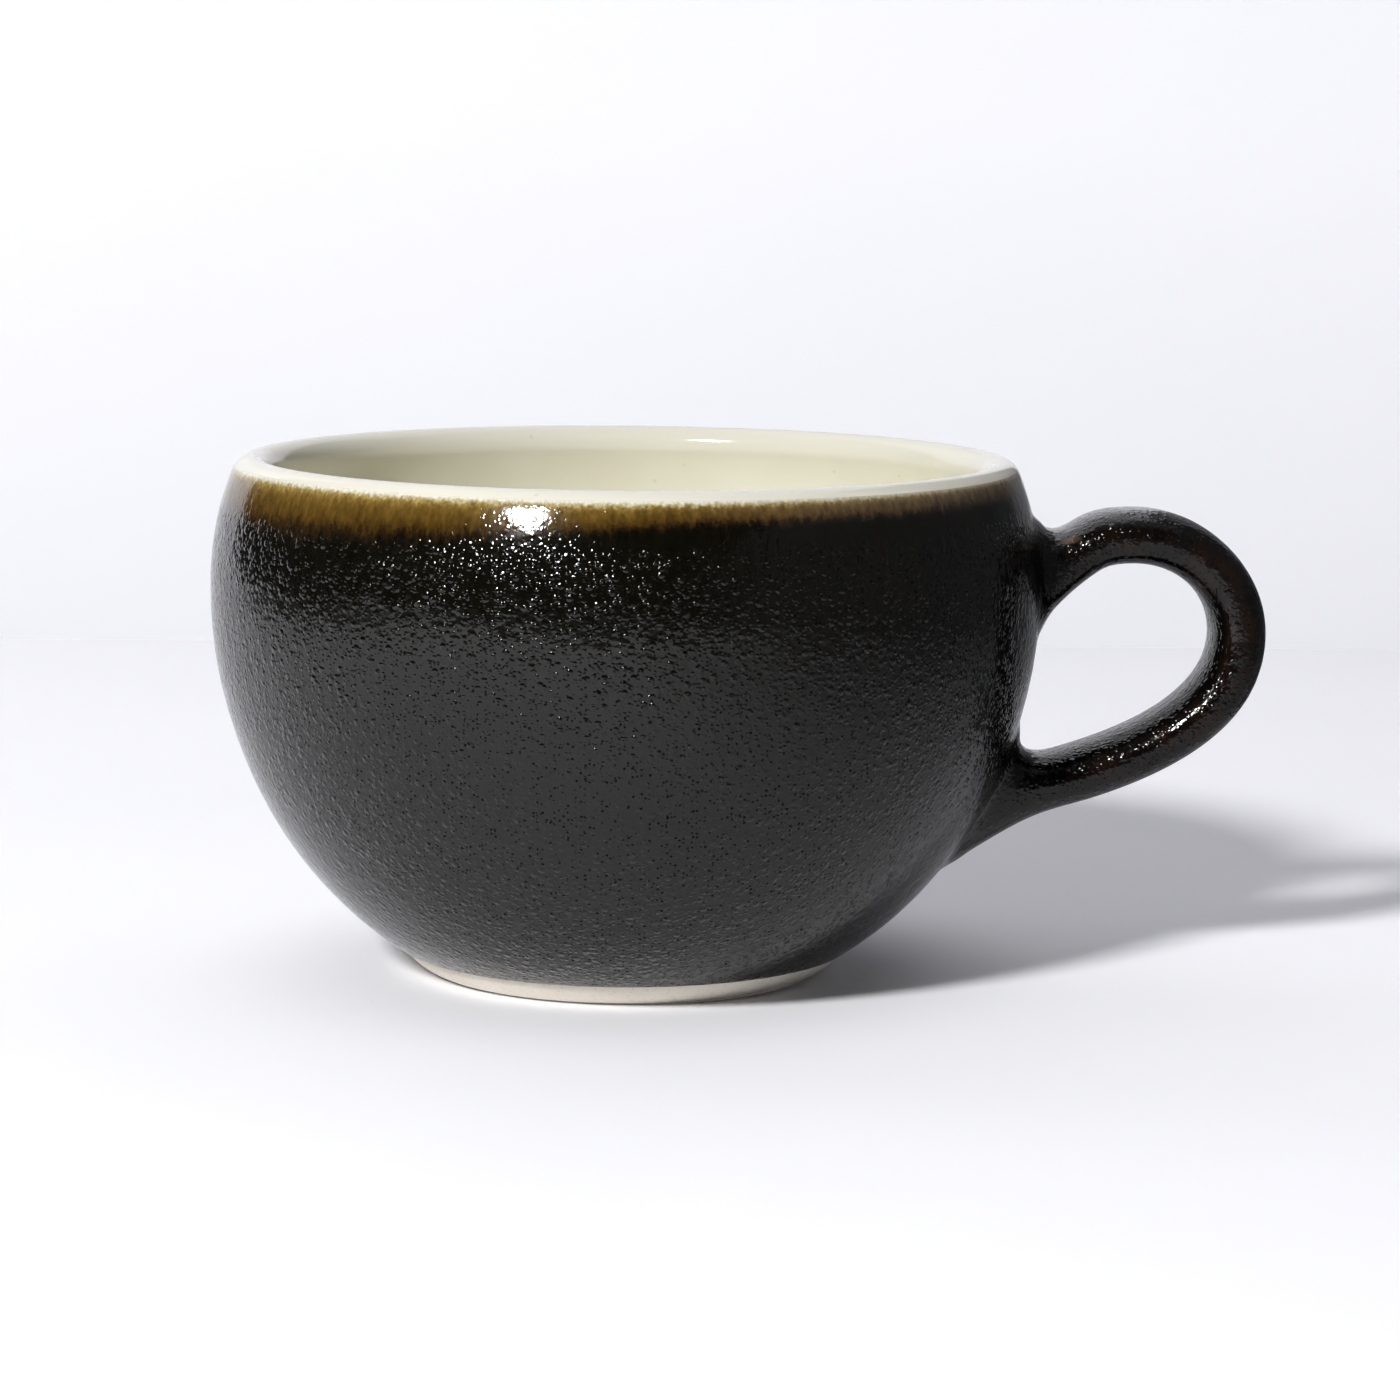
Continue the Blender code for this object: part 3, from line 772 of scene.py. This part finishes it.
def strap_distance(points):
    """How far points lie outside the strap; far away it only has to be large."""
    distances = np.full(len(points), 1.0)
    feet = points.copy()
    near = (points[:, 0] > STRAP_ZONE[0]) & (np.abs(points[:, 1]) < STRAP_ZONE[1])
    for index in np.flatnonzero(near):
        point = Vector(points[index])
        place, normal, _, distance = strap_tree.find_nearest(point)
        distances[index] = math.copysign(distance, (point - place).dot(normal))
        feet[index] = place
    # the ends buried in the wall aren't part of the surface
    buried = near & (wall_distance(feet) < -BURIED)
    return np.where(buried, np.abs(distances), distances)


def melted(first, second):
    """The nearer of two distances, blended where they are alike, which fills the corner between."""
    share = np.clip(0.5 + 0.5 * (second - first) / CORNER_MELT, 0, 1)
    return second + (first - second) * share - CORNER_MELT * share * (1 - share)


def skin_distance(points):
    """How far points lie outside the melted skin."""
    return melted(wall_distance(points), strap_distance(points))


spots, normals = points_and_normals(skin)
free = (spots[:, 2] < CUP_HEIGHT - END_MARGIN) & (spots[:, 2] > END_MARGIN)
moving = spots[free]
for _ in range(MELT_ROUNDS):
    gap = skin_distance(moving)
    slope = np.stack([(skin_distance(moving + step) - gap) / TINY for step in TINY * np.eye(3)], axis=1)
    steep = np.maximum((slope**2).sum(axis=1), LEAST_SLOPE)
    moving = moving - (np.clip(gap, -VOXEL, VOXEL) / steep)[:, None] * slope
spots[free] = moving
move_points(skin, spots)
print(f"points lie within {np.abs(skin_distance(moving)).max() / MM:.4f} mm of the skin")

# %% [markdown]
# ## Trimming the coat
# The coat ends at the wiped line above the foot and at the seam on the lip. Cutting planes give
# both edges, and a few more cuts just above the lower one give it points enough to roll over into
# a soft bead, as melted glaze does at its edge.

# %% Trim
SEAM_HEIGHT = LIP_CENTRE[1] + LIP_RADIUS * math.sin(SEAM_ANGLE)
BEAD_CUTS = (0.02, 0.08, 0.18, 0.32)  # mm above the lower edge
CUT_SNAP = 0.01 * MM
MERGE_DISTANCE = 0.03 * MM

work = bmesh.new()
work.from_mesh(skin)
cuts = [(SEAM_HEIGHT, "clear_outer"), (GLAZE_LINE_HEIGHT, "clear_inner")]
cuts += [(GLAZE_LINE_HEIGHT + cut * MM, "") for cut in BEAD_CUTS]
for height, side in cuts:
    bmesh.ops.bisect_plane(
        work,
        geom=[*work.verts, *work.edges, *work.faces],
        dist=CUT_SNAP,
        plane_co=(0, 0, height),
        plane_no=(0, 0, 1),
        clear_outer=side == "clear_outer",
        clear_inner=side == "clear_inner",
    )
bmesh.ops.remove_doubles(work, verts=work.verts, dist=MERGE_DISTANCE)
work.to_mesh(skin)
work.free()
spots, normals = points_and_normals(skin)
print("points of the trimmed coat:", len(spots))

# %% [markdown]
# ## A hand's unevenness
# Nothing thrown is quite true. Slow noise moves the coat by a few hundredths of a millimetre, and a
# quicker one gives the pebbled skin of this glaze some real relief along its outline. Both fade out
# at the two edges, which have to meet the liner and the clay, and the lower one rolls in as a bead.

# %% Unevenness and bead
SLOW_SIZE = 16 * MM
SLOW_HEIGHT = 0.10 * MM
PEBBLE_SIZE = 1.9 * MM
PEBBLE_HEIGHT = 0.03 * MM
EDGE_FADE = 3 * MM
BEAD_RISE = 0.45 * MM  # height over which the lower edge rolls in
BEAD_DEPTH = 0.45 * MM
STRAP_START = 0.5 * MM  # outside the wall, where the coat starts to count as the strap's
STRAP_BLEND = 2.2 * MM
STRAP_CALM = 0.7  # how much of the pebbles' relief the strap lacks

from_edge = np.minimum(spots[:, 2] - GLAZE_LINE_HEIGHT, SEAM_HEIGHT - spots[:, 2])
fade = np.clip(from_edge / EDGE_FADE, 0, 1)
slow = np.array([noise.noise(Vector(spot) / SLOW_SIZE) for spot in spots])
pebble = np.array([noise.noise(Vector(spot) / PEBBLE_SIZE) for spot in spots])
strap_share = np.clip((wall_distance(spots) - STRAP_START) / STRAP_BLEND, 0, 1)
lift = fade * (slow * SLOW_HEIGHT + pebble * PEBBLE_HEIGHT * (1 - STRAP_CALM * strap_share))
rolled = np.clip(1 - (spots[:, 2] - GLAZE_LINE_HEIGHT) / BEAD_RISE, 0, 1)
bead = BEAD_DEPTH * (1 - np.sqrt(1 - rolled**2))
move_points(skin, spots + (lift - bead)[:, None] * normals)
strap_layer = skin.attributes.new("strap", "FLOAT", "POINT")
strap_layer.data.foreach_set("value", strap_share.astype(np.float32))
print(f"unevenness up to {np.abs(lift).max() / MM:.2f} mm, strap points:", int((strap_share > 0.5).sum()))

# %% [markdown]
# ## Where the strap has edges
# Glaze runs thin over an edge, so the finish has to know where the edges are. How sharply the skin
# bends outwards is read from the turn of the normals along each mesh edge, smoothed over the
# neighbours, and stored with the points for the material.

# %% Edges of the strap
EDGE_BEND = (0.2, 0.36)  # per mm, where an edge of the strap starts and is at its sharpest
SMOOTHING_ROUNDS = 3

ends = np.zeros(len(skin.edges) * 2, dtype=int)
skin.edges.foreach_get("vertices", ends)
first, second = ends.reshape(-1, 2).T
step = spots[second] - spots[first]
bend = ((normals[second] - normals[first]) * step).sum(axis=1) / (step**2).sum(axis=1)
sharpest = np.zeros(len(spots))
np.maximum.at(sharpest, first, bend)
np.maximum.at(sharpest, second, bend)
count = np.bincount(ends, minlength=len(spots))
for _ in range(SMOOTHING_ROUNDS):
    around = np.bincount(first, sharpest[second], len(spots))
    around += np.bincount(second, sharpest[first], len(spots))
    sharpest = 0.5 * sharpest + 0.5 * around / count
edge_share = (sharpest * MM - EDGE_BEND[0]) / (EDGE_BEND[1] - EDGE_BEND[0])
edge_share = np.clip(edge_share, 0, 1) * strap_share
edge_layer = skin.attributes.new("edge", "FLOAT", "POINT")
edge_layer.data.foreach_set("value", edge_share.astype(np.float32))
strap_bend = np.percentile(sharpest[strap_share > 0.9] * MM, (5, 25, 50, 75, 95))
print("bend on the strap, per mm:", strap_bend.round(3))

# %% [markdown]
# ## Thickness of the coat
# Solidify turns the sheet into a thin closed coat. A vertex group scales its thickness, which runs
# out in the bead.

# %% Thickness
LEAST_COAT = 0.04  # as a share of the thickness

dark_coat = in_scene("dark_coat", skin)
coat_group = dark_coat.vertex_groups.new(name="coat")
for index, share in enumerate(1 - bead / GLAZE_THICKNESS):
    coat_group.add([index], float(share), "REPLACE")
solid = dark_coat.modifiers.new("Coat", "SOLIDIFY")
solid.thickness = GLAZE_THICKNESS
solid.offset = -1
solid.vertex_group = coat_group.name
solid.thickness_vertex_group = LEAST_COAT
dark_coat = shown("dark_coat", with_modifiers(dark_coat, "dark_coat"))
print("dark coat faces:", len(dark_coat.data.polygons))

# %% [markdown]
# ## Ivory liner glaze
# A feldspathic liner glaze, poured and fired to a clear gloss over buff clay: glassy, a warm
# greenish white, with a few faint specks of iron that bled through. It is a glass, so its IOR is
# that of glass and its roughness is low. The same ivory shows at the very top of the dark coat, so
# one function paints both.

# %% Ivory liner glaze
GLASS_IOR = 1.52
IVORY_CLOUDS = 18 * MM
PALE_LIP = (66.5 * MM, 70.5 * MM)  # heights between which the lip turns a greyer, darker ivory
SPECK_SPACING = 4.5 * MM
SPECK_EDGE = (0.04, 0.09)  # where a speck starts to fade and ends, as shares of the spacing
SPECK_FREE = 0.45  # share of the places that stay clear
SPECK_TINT = 0.16
RIPPLE_SIZE = 2.6 * MM
RIPPLE_HEIGHT = 0.012 * MM
LINER_GLOSS = (0.07, 0.13)  # roughness


def ivory(tree, place):
    """The liner's colour: slow clouds, a greyer and darker lip, and sparse iron specks."""
    height = add_node(tree, "SeparateXYZ", {"Vector": place}).outputs["Z"]
    clouds = add_node(tree, "TexNoise", {"Vector": place, "Scale": 1 / IVORY_CLOUDS, "Detail": 2})
    body = add_node(tree, "ValToRGB", {"Fac": clouds}, [(0.35, "#E2DFCB"), (0.65, "#E9E6D5")])
    rim = add_node(tree, "MapRange", {"Value": height, FROM: PALE_LIP}, **SMOOTH)
    pale = add_node(tree, "Mix", {0: rim, 6: body, 7: linear("#D8D5C7")}, data_type="RGBA")
    cells = add_node(tree, "TexVoronoi", {"Vector": place, "Scale": 1 / SPECK_SPACING})
    chance = add_node(tree, "SeparateColor", {"Color": cells.outputs["Color"]}).outputs["Red"]
    speck = add_node(tree, "MapRange", {"Value": cells, FROM: SPECK_EDGE, TO: FALLING})
    rare = add_node(tree, "Math", {0: chance, 1: SPECK_FREE}, operation="GREATER_THAN")
    share = add_node(tree, "Math", {0: speck, 1: rare}, operation="MULTIPLY")
    faint = add_node(tree, "Math", {0: share, 1: SPECK_TINT}, operation="MULTIPLY")
    return add_node(tree, "Mix", {0: faint, 6: pale, 7: linear("#8F8460")}, data_type="RGBA")


liner_finish, tree = new_material("ivory_liner_glaze")
place = add_node(tree, "TexCoord").outputs["Object"]
ripple = add_node(tree, "TexNoise", {"Vector": place, "Scale": 1 / RIPPLE_SIZE, "Detail": 1})
relief = add_node(tree, "Bump", {"Height": ripple, "Distance": RIPPLE_HEIGHT, "Strength": 1.0})
gloss = add_node(tree, "MapRange", {"Value": ripple, TO: LINER_GLOSS})
glaze = add_node(
    tree,
    "BsdfPrincipled",
    {"Base Color": ivory(tree, place), "Roughness": gloss, "IOR": GLASS_IOR, "Normal": relief},
)
add_node(tree, "OutputMaterial", {"Surface": glaze})
liner_coat.data.materials.append(liner_finish)
print("finish:", liner_finish.name)

# %% [markdown]
# ## Black tenmoku glaze
# Tenmoku is a lime glaze full of iron. Thick, it is a black glass with a pebbled skin; thin, as over
# a rim or along an edge, the iron shows amber and rust brown. Here it fades below the lip in a band
# of fine runs, which is deeper on the side away from the handle, where the coat was thinner. The
# first step measures how far down that band a place lies, from 0 at the ivory to 1 in the black.

# %% Band below the lip
BREAK_HEIGHTS = (69.95 * MM, 70.4 * MM)  # where ivory turns brown, away from the handle and near it
BAND_DEPTHS = (7.4 * MM, 3.2 * MM)  # of the brown band there
BAND_CHANGE = (-45 * MM, 10 * MM)  # along x, where the depth changes
NEAR_HANDLE = (5 * MM, 45 * MM)  # along x, where the handle's side begins and is reached
RUN_WIDTH = 1.0 * MM
RUN_LENGTH = 2.8 * MM
RUN_SWING = (0.84, 1.16)  # what the runs, and the slow lobes, do to the depth
LOBE_SIZE = 11 * MM
LOBE_SWING = (0.92, 1.08)
GRAIN_SIZE = 0.5 * MM
FEATHER = (-0.3 * MM, 0.3 * MM)  # how far the grain frays the ivory's edge
HANDLE_FEATHER = 0.35  # share of it near the handle
NOISE_REACH = (0.25, 0.75)  # between which most of a noise's values lie

dark_finish, tree = new_material("black_tenmoku_glaze")
place = add_node(tree, "TexCoord").outputs["Object"]
axes = add_node(tree, "SeparateXYZ", {"Vector": place}).outputs

# runs are noise drawn out down the wall
drawn_out = (1 / RUN_WIDTH, 1 / RUN_WIDTH, 1 / RUN_LENGTH)
run_place = add_node(tree, "VectorMath", {0: place, 1: drawn_out}, operation="MULTIPLY")
runs = add_node(tree, "TexNoise", {"Vector": run_place, "Scale": 1.0, "Detail": 2, "Roughness": 0.6})
lobes = add_node(tree, "TexNoise", {"Vector": place, "Scale": 1 / LOBE_SIZE, "Detail": 1})
grain = add_node(tree, "TexNoise", {"Vector": place, "Scale": 1 / GRAIN_SIZE, "Detail": 2})
run_swing, lobe_swing, feather = [
    add_node(tree, "MapRange", {"Value": pattern, FROM: NOISE_REACH, TO: reach})
    for pattern, reach in ((runs, RUN_SWING), (lobes, LOBE_SWING), (grain, FEATHER))
]

to_handle = (0.0, NEAR_HANDLE[1])
break_line = add_node(tree, "MapRange", {"Value": axes["X"], FROM: to_handle, TO: BREAK_HEIGHTS})
below_rim = add_node(tree, "Math", {0: break_line, 1: axes["Z"]}, operation="SUBTRACT")
near_handle = add_node(tree, "MapRange", {"Value": axes["X"], FROM: NEAR_HANDLE})
frayed = add_node(tree, "MapRange", {"Value": near_handle, TO: (1.0, HANDLE_FEATHER)})
feather = add_node(tree, "Math", {0: feather, 1: frayed}, operation="MULTIPLY")
feathered = add_node(tree, "Math", {0: below_rim, 1: feather}, operation="ADD")
depth = add_node(tree, "MapRange", {"Value": axes["X"], FROM: BAND_CHANGE, TO: BAND_DEPTHS})
fall = add_node(tree, "Math", {0: feathered, 1: depth}, operation="DIVIDE")
for swing in (run_swing, lobe_swing):
    fall = add_node(tree, "Math", {0: fall, 1: swing}, operation="MULTIPLY")
print("depth of the brown band, mm:", [round(value / MM, 1) for value in BAND_DEPTHS])

# %% [markdown]
# ## Amber, brown and black
# Down the band the colour goes from amber through brown to black, and the runs make it lighter and
# darker in fine streaks. Near the handle it is greyer, a painted reflection: a grey sheen laid into
# the colour. Above it, the ivory of the liner shows.

# %% Colour of the wall
BREAK_COLOURS = [
    (0.0, "#97844D"),
    (1.0, "#0B0A05"),
    (0.08, "#765F2F"),
    (0.16, "#644D20"),
    (0.28, "#57421A"),
    (0.42, "#4D3814"),
    (0.54, "#3E2C0E"),
    (0.66, "#2A1D0B"),
    (0.77, "#1A1308"),
    (0.86, "#0F0C06"),
]
IVORY_END = (-0.65 * MM, 0.15 * MM)  # below the break line, where ivory has turned brown
RUN_TONES = (1.2, 0.72)  # brightness of the thinnest and thickest runs
HANDLE_RICHNESS = 0.68  # saturation near the handle, lowered as a painted reflection

break_colour = add_node(tree, "ValToRGB", {"Fac": fall}, BREAK_COLOURS)
turned_brown = add_node(tree, "MapRange", {"Value": feathered, FROM: IVORY_END}, **SMOOTH)
streaks = add_node(tree, "MapRange", {"Value": runs, FROM: (0.3, 0.7), TO: RUN_TONES})
# painted reflection: towards the handle the colour is greyed, as a grey sheen laid into it
richness = add_node(tree, "MapRange", {"Value": near_handle, TO: (1.0, HANDLE_RICHNESS)})
greyed = add_node(tree, "HueSaturation", {"Color": break_colour, "Saturation": richness})
streaked = add_node(tree, "VectorMath", {0: greyed, "Scale": streaks}, operation="SCALE")
wall_colours = {0: turned_brown, 6: ivory(tree, place), 7: streaked}
wall_colour = add_node(tree, "Mix", wall_colours, data_type="RGBA")
print("colours down the band:", len(BREAK_COLOURS))

# %% [markdown]
# ## Rust on the strap
# On the handle the iron shows a dull red where the coat is thin, along the edges. At the roots two
# short streaks ran thinner still and are clay brown.

# %% Colour of the strap
RUST_SIZE = 5 * MM
STRAP_COLOURS = [(0.0, "#060504"), (1.0, "#180E08"), (0.5, "#0A0705")]
# the place of each streak, and how soon it ends along x, y and z
UPPER_STREAK = ((60.6 * MM, -6.6 * MM, 61.3 * MM), (0.45, 1.0, 1.2))
TAIL_STREAK = ((50.4 * MM, -6.8 * MM, 20.4 * MM), (0.35, 0.5, 0.45))
STREAK_FADE = (0.2 * MM, 1.1 * MM)
STREAK_TINT = 0.85

on_strap = add_node(tree, "Attribute", attribute_name="strap").outputs["Fac"]
on_edge = add_node(tree, "Attribute", attribute_name="edge").outputs["Fac"]
rust = add_node(tree, "TexNoise", {"Vector": place, "Scale": 1 / RUST_SIZE, "Detail": 3, "Roughness": 0.6})
patch = add_node(tree, "MapRange", {"Value": rust, FROM: (0.3, 0.6)})
rusty = add_node(tree, "Math", {0: on_edge, 1: patch}, operation="MULTIPLY")
strap_colour = add_node(tree, "ValToRGB", {"Fac": rusty}, STRAP_COLOURS)


def streak(centre, squash):
    """How thin the glaze has run round a place, from its middle out to nothing."""
    off = add_node(tree, "VectorMath", {0: place, 1: centre}, operation="SUBTRACT")
    squashed = add_node(tree, "VectorMath", {0: off, 1: squash}, operation="MULTIPLY")
    far = add_node(tree, "VectorMath", {0: squashed}, operation="LENGTH")
    return add_node(tree, "MapRange", {"Value": far, FROM: STREAK_FADE, TO: (STREAK_TINT, 0.0)})


tail_line = add_node(tree, "Math", {0: streak(*TAIL_STREAK), 1: on_edge}, operation="MULTIPLY")
bare_touch = add_node(tree, "Math", {0: streak(*UPPER_STREAK), 1: tail_line}, operation="MAXIMUM")
strap_colours = {0: bare_touch, 6: strap_colour, 7: linear("#5E4432")}
strap_colour = add_node(tree, "Mix", strap_colours, data_type="RGBA")
colour = add_node(tree, "Mix", {0: on_strap, 6: wall_colour, 7: strap_colour}, data_type="RGBA")
print("strap colours:", len(STRAP_COLOURS), "and a streak at each root")

# %% [markdown]
# ## Pebbled skin
# The thick glaze is pebbled like orange peel: coarse and fine domes of all heights on a gently
# swelling glass. A cell texture gives each dome its place and its chance of being tall. The pebbles
# are too small for the mesh, so they are bump. They melt away in the thin band, and are lower along
# the narrow sides of the strap.

# %% Pebbled skin
PEBBLES = ((1.15 * MM, 0.135 * MM), (0.62 * MM, 0.09 * MM))  # spacing, and height of the tallest
PEBBLE_REACH = 0.45  # radius of a pebble, as a share of the spacing
PEBBLE_LEAST = 0.15  # height of the lowest, as a share of the tallest
TALL_RARITY = 1.4  # above 1, tall ones are fewer
SWELL_SIZE = 1.5 * MM
SWELL_HEIGHT = 0.10 * MM
STRAP_SIDE = (4.2 * MM, 7.6 * MM)  # from the middle of the strap, where its narrow side begins
SIDE_PEBBLES = 0.7  # share left there
BAND_END = (3.4 * MM, 6.6 * MM)  # below the break line, where the skin becomes pebbled
BAND_PEBBLES = 0.16  # share left in the band

layers = []
for spacing, tallest in PEBBLES:
    cells = add_node(tree, "TexVoronoi", {"Vector": place, "Scale": 1 / spacing})
    out = add_node(tree, "Math", {0: cells, 1: PEBBLE_REACH}, operation="DIVIDE")
    steep = add_node(tree, "Math", {0: out, 1: 2.0}, operation="POWER")
    dome = add_node(tree, "MapRange", {"Value": steep, TO: FALLING})
    chance = add_node(tree, "SeparateColor", {"Color": cells.outputs["Color"]}).outputs["Red"]
    few = add_node(tree, "Math", {0: chance, 1: TALL_RARITY}, operation="POWER")
    tall = add_node(tree, "MapRange", {"Value": few, TO: (PEBBLE_LEAST * tallest, tallest)})
    layers.append(add_node(tree, "Math", {0: dome, 1: tall}, operation="MULTIPLY"))
bumps = add_node(tree, "Math", dict(enumerate(layers)), operation="ADD")

aside = add_node(tree, "Math", {0: axes["Y"]}, operation="ABSOLUTE")
thin = add_node(tree, "MapRange", {"Value": aside, FROM: STRAP_SIDE}, **SMOOTH)
bare_side = add_node(tree, "Math", {0: thin, 1: on_strap}, operation="MULTIPLY")
pebbled = add_node(tree, "MapRange", {"Value": bare_side, TO: (1.0, SIDE_PEBBLES)})
past_band = {"Value": feathered, FROM: BAND_END, TO: (BAND_PEBBLES, 1.0)}
settled = add_node(tree, "MapRange", past_band, **SMOOTH)
strength = add_node(tree, "Math", {0: pebbled, 1: settled}, operation="MULTIPLY")
swell = add_node(tree, "TexNoise", {"Vector": place, "Scale": 1 / SWELL_SIZE, "Detail": 1})
swelling = add_node(tree, "Bump", {"Height": swell, "Distance": SWELL_HEIGHT, "Strength": strength})
relief = add_node(
    tree, "Bump", {"Height": bumps, "Distance": 1.0, "Strength": strength, "Normal": swelling}
)
print("pebbles", " and ".join(f"{spacing / MM:.2f}" for spacing, _ in PEBBLES), "mm apart")

# %% [markdown]
# ## Pits and gloss
# Pits of all widths lie among the pebbles and are painted shade: the glass mirrors less in them, as if
# they kept the light that falls in. Under the crest, the broad faces of the strap get painted shade
# too, so they mirror less. Otherwise the gloss is that of glass, a little rougher on the strap.

# %% Pits and gloss
PIT_SPACING = 0.55 * MM
PIT_REACH = 0.36  # radius of the widest pit, as a share of the spacing
PIT_EDGE = (-0.08, 0.08)  # how soft a pit's edge is, to either side
PIT_SHINE = 0.1  # what the middle of a pit still mirrors
CREST_SHADE = (57 * MM, 63 * MM)  # heights between which the painted shade under the crest ends
GLASS_SPECULAR = (0.44, 0.12)  # specular level of the open skin and of the painted shade under the crest
DARK_GLOSS = (0.09, 0.11)  # roughness on the wall and on the strap

# painted shade: in each pit the glass mirrors less
cells = add_node(tree, "TexVoronoi", {"Vector": place, "Scale": 1 / PIT_SPACING})
chance = add_node(tree, "SeparateColor", {"Color": cells.outputs["Color"]}).outputs["Red"]
pit_wall = add_node(tree, "Math", {0: chance, 1: PIT_REACH}, operation="MULTIPLY")
past_wall = add_node(tree, "Math", {0: cells, 1: pit_wall}, operation="SUBTRACT")
unpitted = add_node(tree, "MapRange", {"Value": past_wall, FROM: PIT_EDGE, TO: (PIT_SHINE, 1.0)})
# painted shade under the crest, on the broad faces of the strap
broad = add_node(tree, "Math", {0: on_strap, 1: bare_side}, operation="SUBTRACT")
under_crest = add_node(tree, "MapRange", {"Value": axes["Z"], FROM: CREST_SHADE, TO: FALLING})
crest_painted_shade = add_node(tree, "Math", {0: broad, 1: under_crest}, operation="MULTIPLY")
shaded_specular = add_node(tree, "MapRange", {"Value": crest_painted_shade, TO: GLASS_SPECULAR})
left_open = add_node(tree, "MapRange", {"Value": strength, TO: (1.0, unpitted)})
shaded = add_node(tree, "Math", {0: shaded_specular, 1: left_open}, operation="MULTIPLY")
gloss = add_node(tree, "MapRange", {"Value": on_strap, TO: DARK_GLOSS})
glaze = add_node(
    tree,
    "BsdfPrincipled",
    {
        "Base Color": colour,
        "Roughness": gloss,
        "IOR": GLASS_IOR,
        "Specular IOR Level": shaded,
        "Normal": relief,
    },
)
add_node(tree, "OutputMaterial", {"Surface": glaze})
dark_coat.data.materials.append(dark_finish)
print("finish:", dark_finish.name)

# %% [markdown]
# ## Bare stoneware
# Buff stoneware fired without glaze is matt and faintly sandy: cream clay with darker and paler
# grains of grog a few tenths of a millimetre across. The turning tool leaves fine rings round the
# foot, and the pulled strap keeps fine lines along its length. Slip is the same clay sieved and
# thinned, so it is paler and without grains.

# %% Bare stoneware and slip
CLAY_CLOUDS = 7 * MM
GROG_SIZE = 0.45 * MM
GROG_EDGE = (0.6, 0.72)  # of its noise, where a grain begins and is full
GROG_TINT = 0.45
SAND_HEIGHT = 0.05 * MM
CLAY_GLOSS = (0.78, 0.9)  # roughness


def stoneware(name, dark, light, grog, line_spacing):
    """A sandy unglazed clay; the lines are rings round the axis, from the potter's tool."""
    made, tree = new_material(name)
    place = add_node(tree, "TexCoord").outputs["Object"]
    clouds = add_node(tree, "TexNoise", {"Vector": place, "Scale": 1 / CLAY_CLOUDS, "Detail": 4})
    body = add_node(tree, "ValToRGB", {"Fac": clouds}, [(0.3, dark), (0.7, light)])
    grains = add_node(tree, "TexNoise", {"Vector": place, "Scale": 1 / GROG_SIZE, "Detail": 2})
    speck = add_node(tree, "MapRange", {"Value": grains, FROM: GROG_EDGE, TO: (0.0, GROG_TINT)})
    colour = add_node(tree, "Mix", {0: speck, 6: body, 7: linear(grog)}, data_type="RGBA")
    flat_place = add_node(tree, "VectorMath", {0: place, 1: (1, 1, 0)}, operation="MULTIPLY")
    radius = add_node(tree, "VectorMath", {0: flat_place}, operation="LENGTH")
    turning = {"W": radius, "Scale": 1 / line_spacing, "Detail": 1}
    rings = add_node(tree, "TexNoise", turning, noise_dimensions="1D")
    sand = add_node(tree, "Math", {0: grains, 1: rings}, operation="ADD")
    relief = add_node(tree, "Bump", {"Height": sand, "Distance": SAND_HEIGHT, "Strength": 1.0})
    matt = add_node(tree, "MapRange", {"Value": clouds, TO: CLAY_GLOSS})
    clay = add_node(
        tree,
        "BsdfPrincipled",
        {"Base Color": colour, "Roughness": matt, "IOR": GLASS_IOR, "Normal": relief},
    )
    add_node(tree, "OutputMaterial", {"Surface": clay})
    return made


clay_bowl.data.materials.append(stoneware("turned_buff_stoneware", "#F0E8DA", "#F6EFE3", "#CBB999", 0.9 * MM))
hidden_finishes = {
    "handle": stoneware("pulled_buff_stoneware", "#CDC1AA", "#D8CEB9", "#A08A68", 1.4 * MM),
    "upper_slip_joint": stoneware("upper_joining_slip", "#C9BEA8", "#D0C6B2", "#BBAF98", 2.0 * MM),
    "lower_slip_joint": stoneware("lower_joining_slip", "#C7BCA6", "#CEC4B0", "#B9AD96", 2.0 * MM),
}
for node_name, finish in hidden_finishes.items():
    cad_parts[node_name].material_slots[0].material = finish
print("clay finishes:", 1 + len(hidden_finishes))

# %% [markdown]
# ## Handing over
# Each new piece rides on the one body of this rigid cup and stands for the CAD node that it
# redraws. The strap's clay and the two joints of slip stay as the CAD has them, closed in by the
# coat.

# %% Pieces
hand_over = (
    (clay_bowl, "stoneware_bowl", "bare_stoneware"),
    (liner_coat, "liner_glaze", "liner_glaze"),
    (dark_coat, "outer_glaze", "outer_glaze"),
)
for piece, node_name, slot_name in hand_over:
    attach(piece, "root")
    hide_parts(node_name)
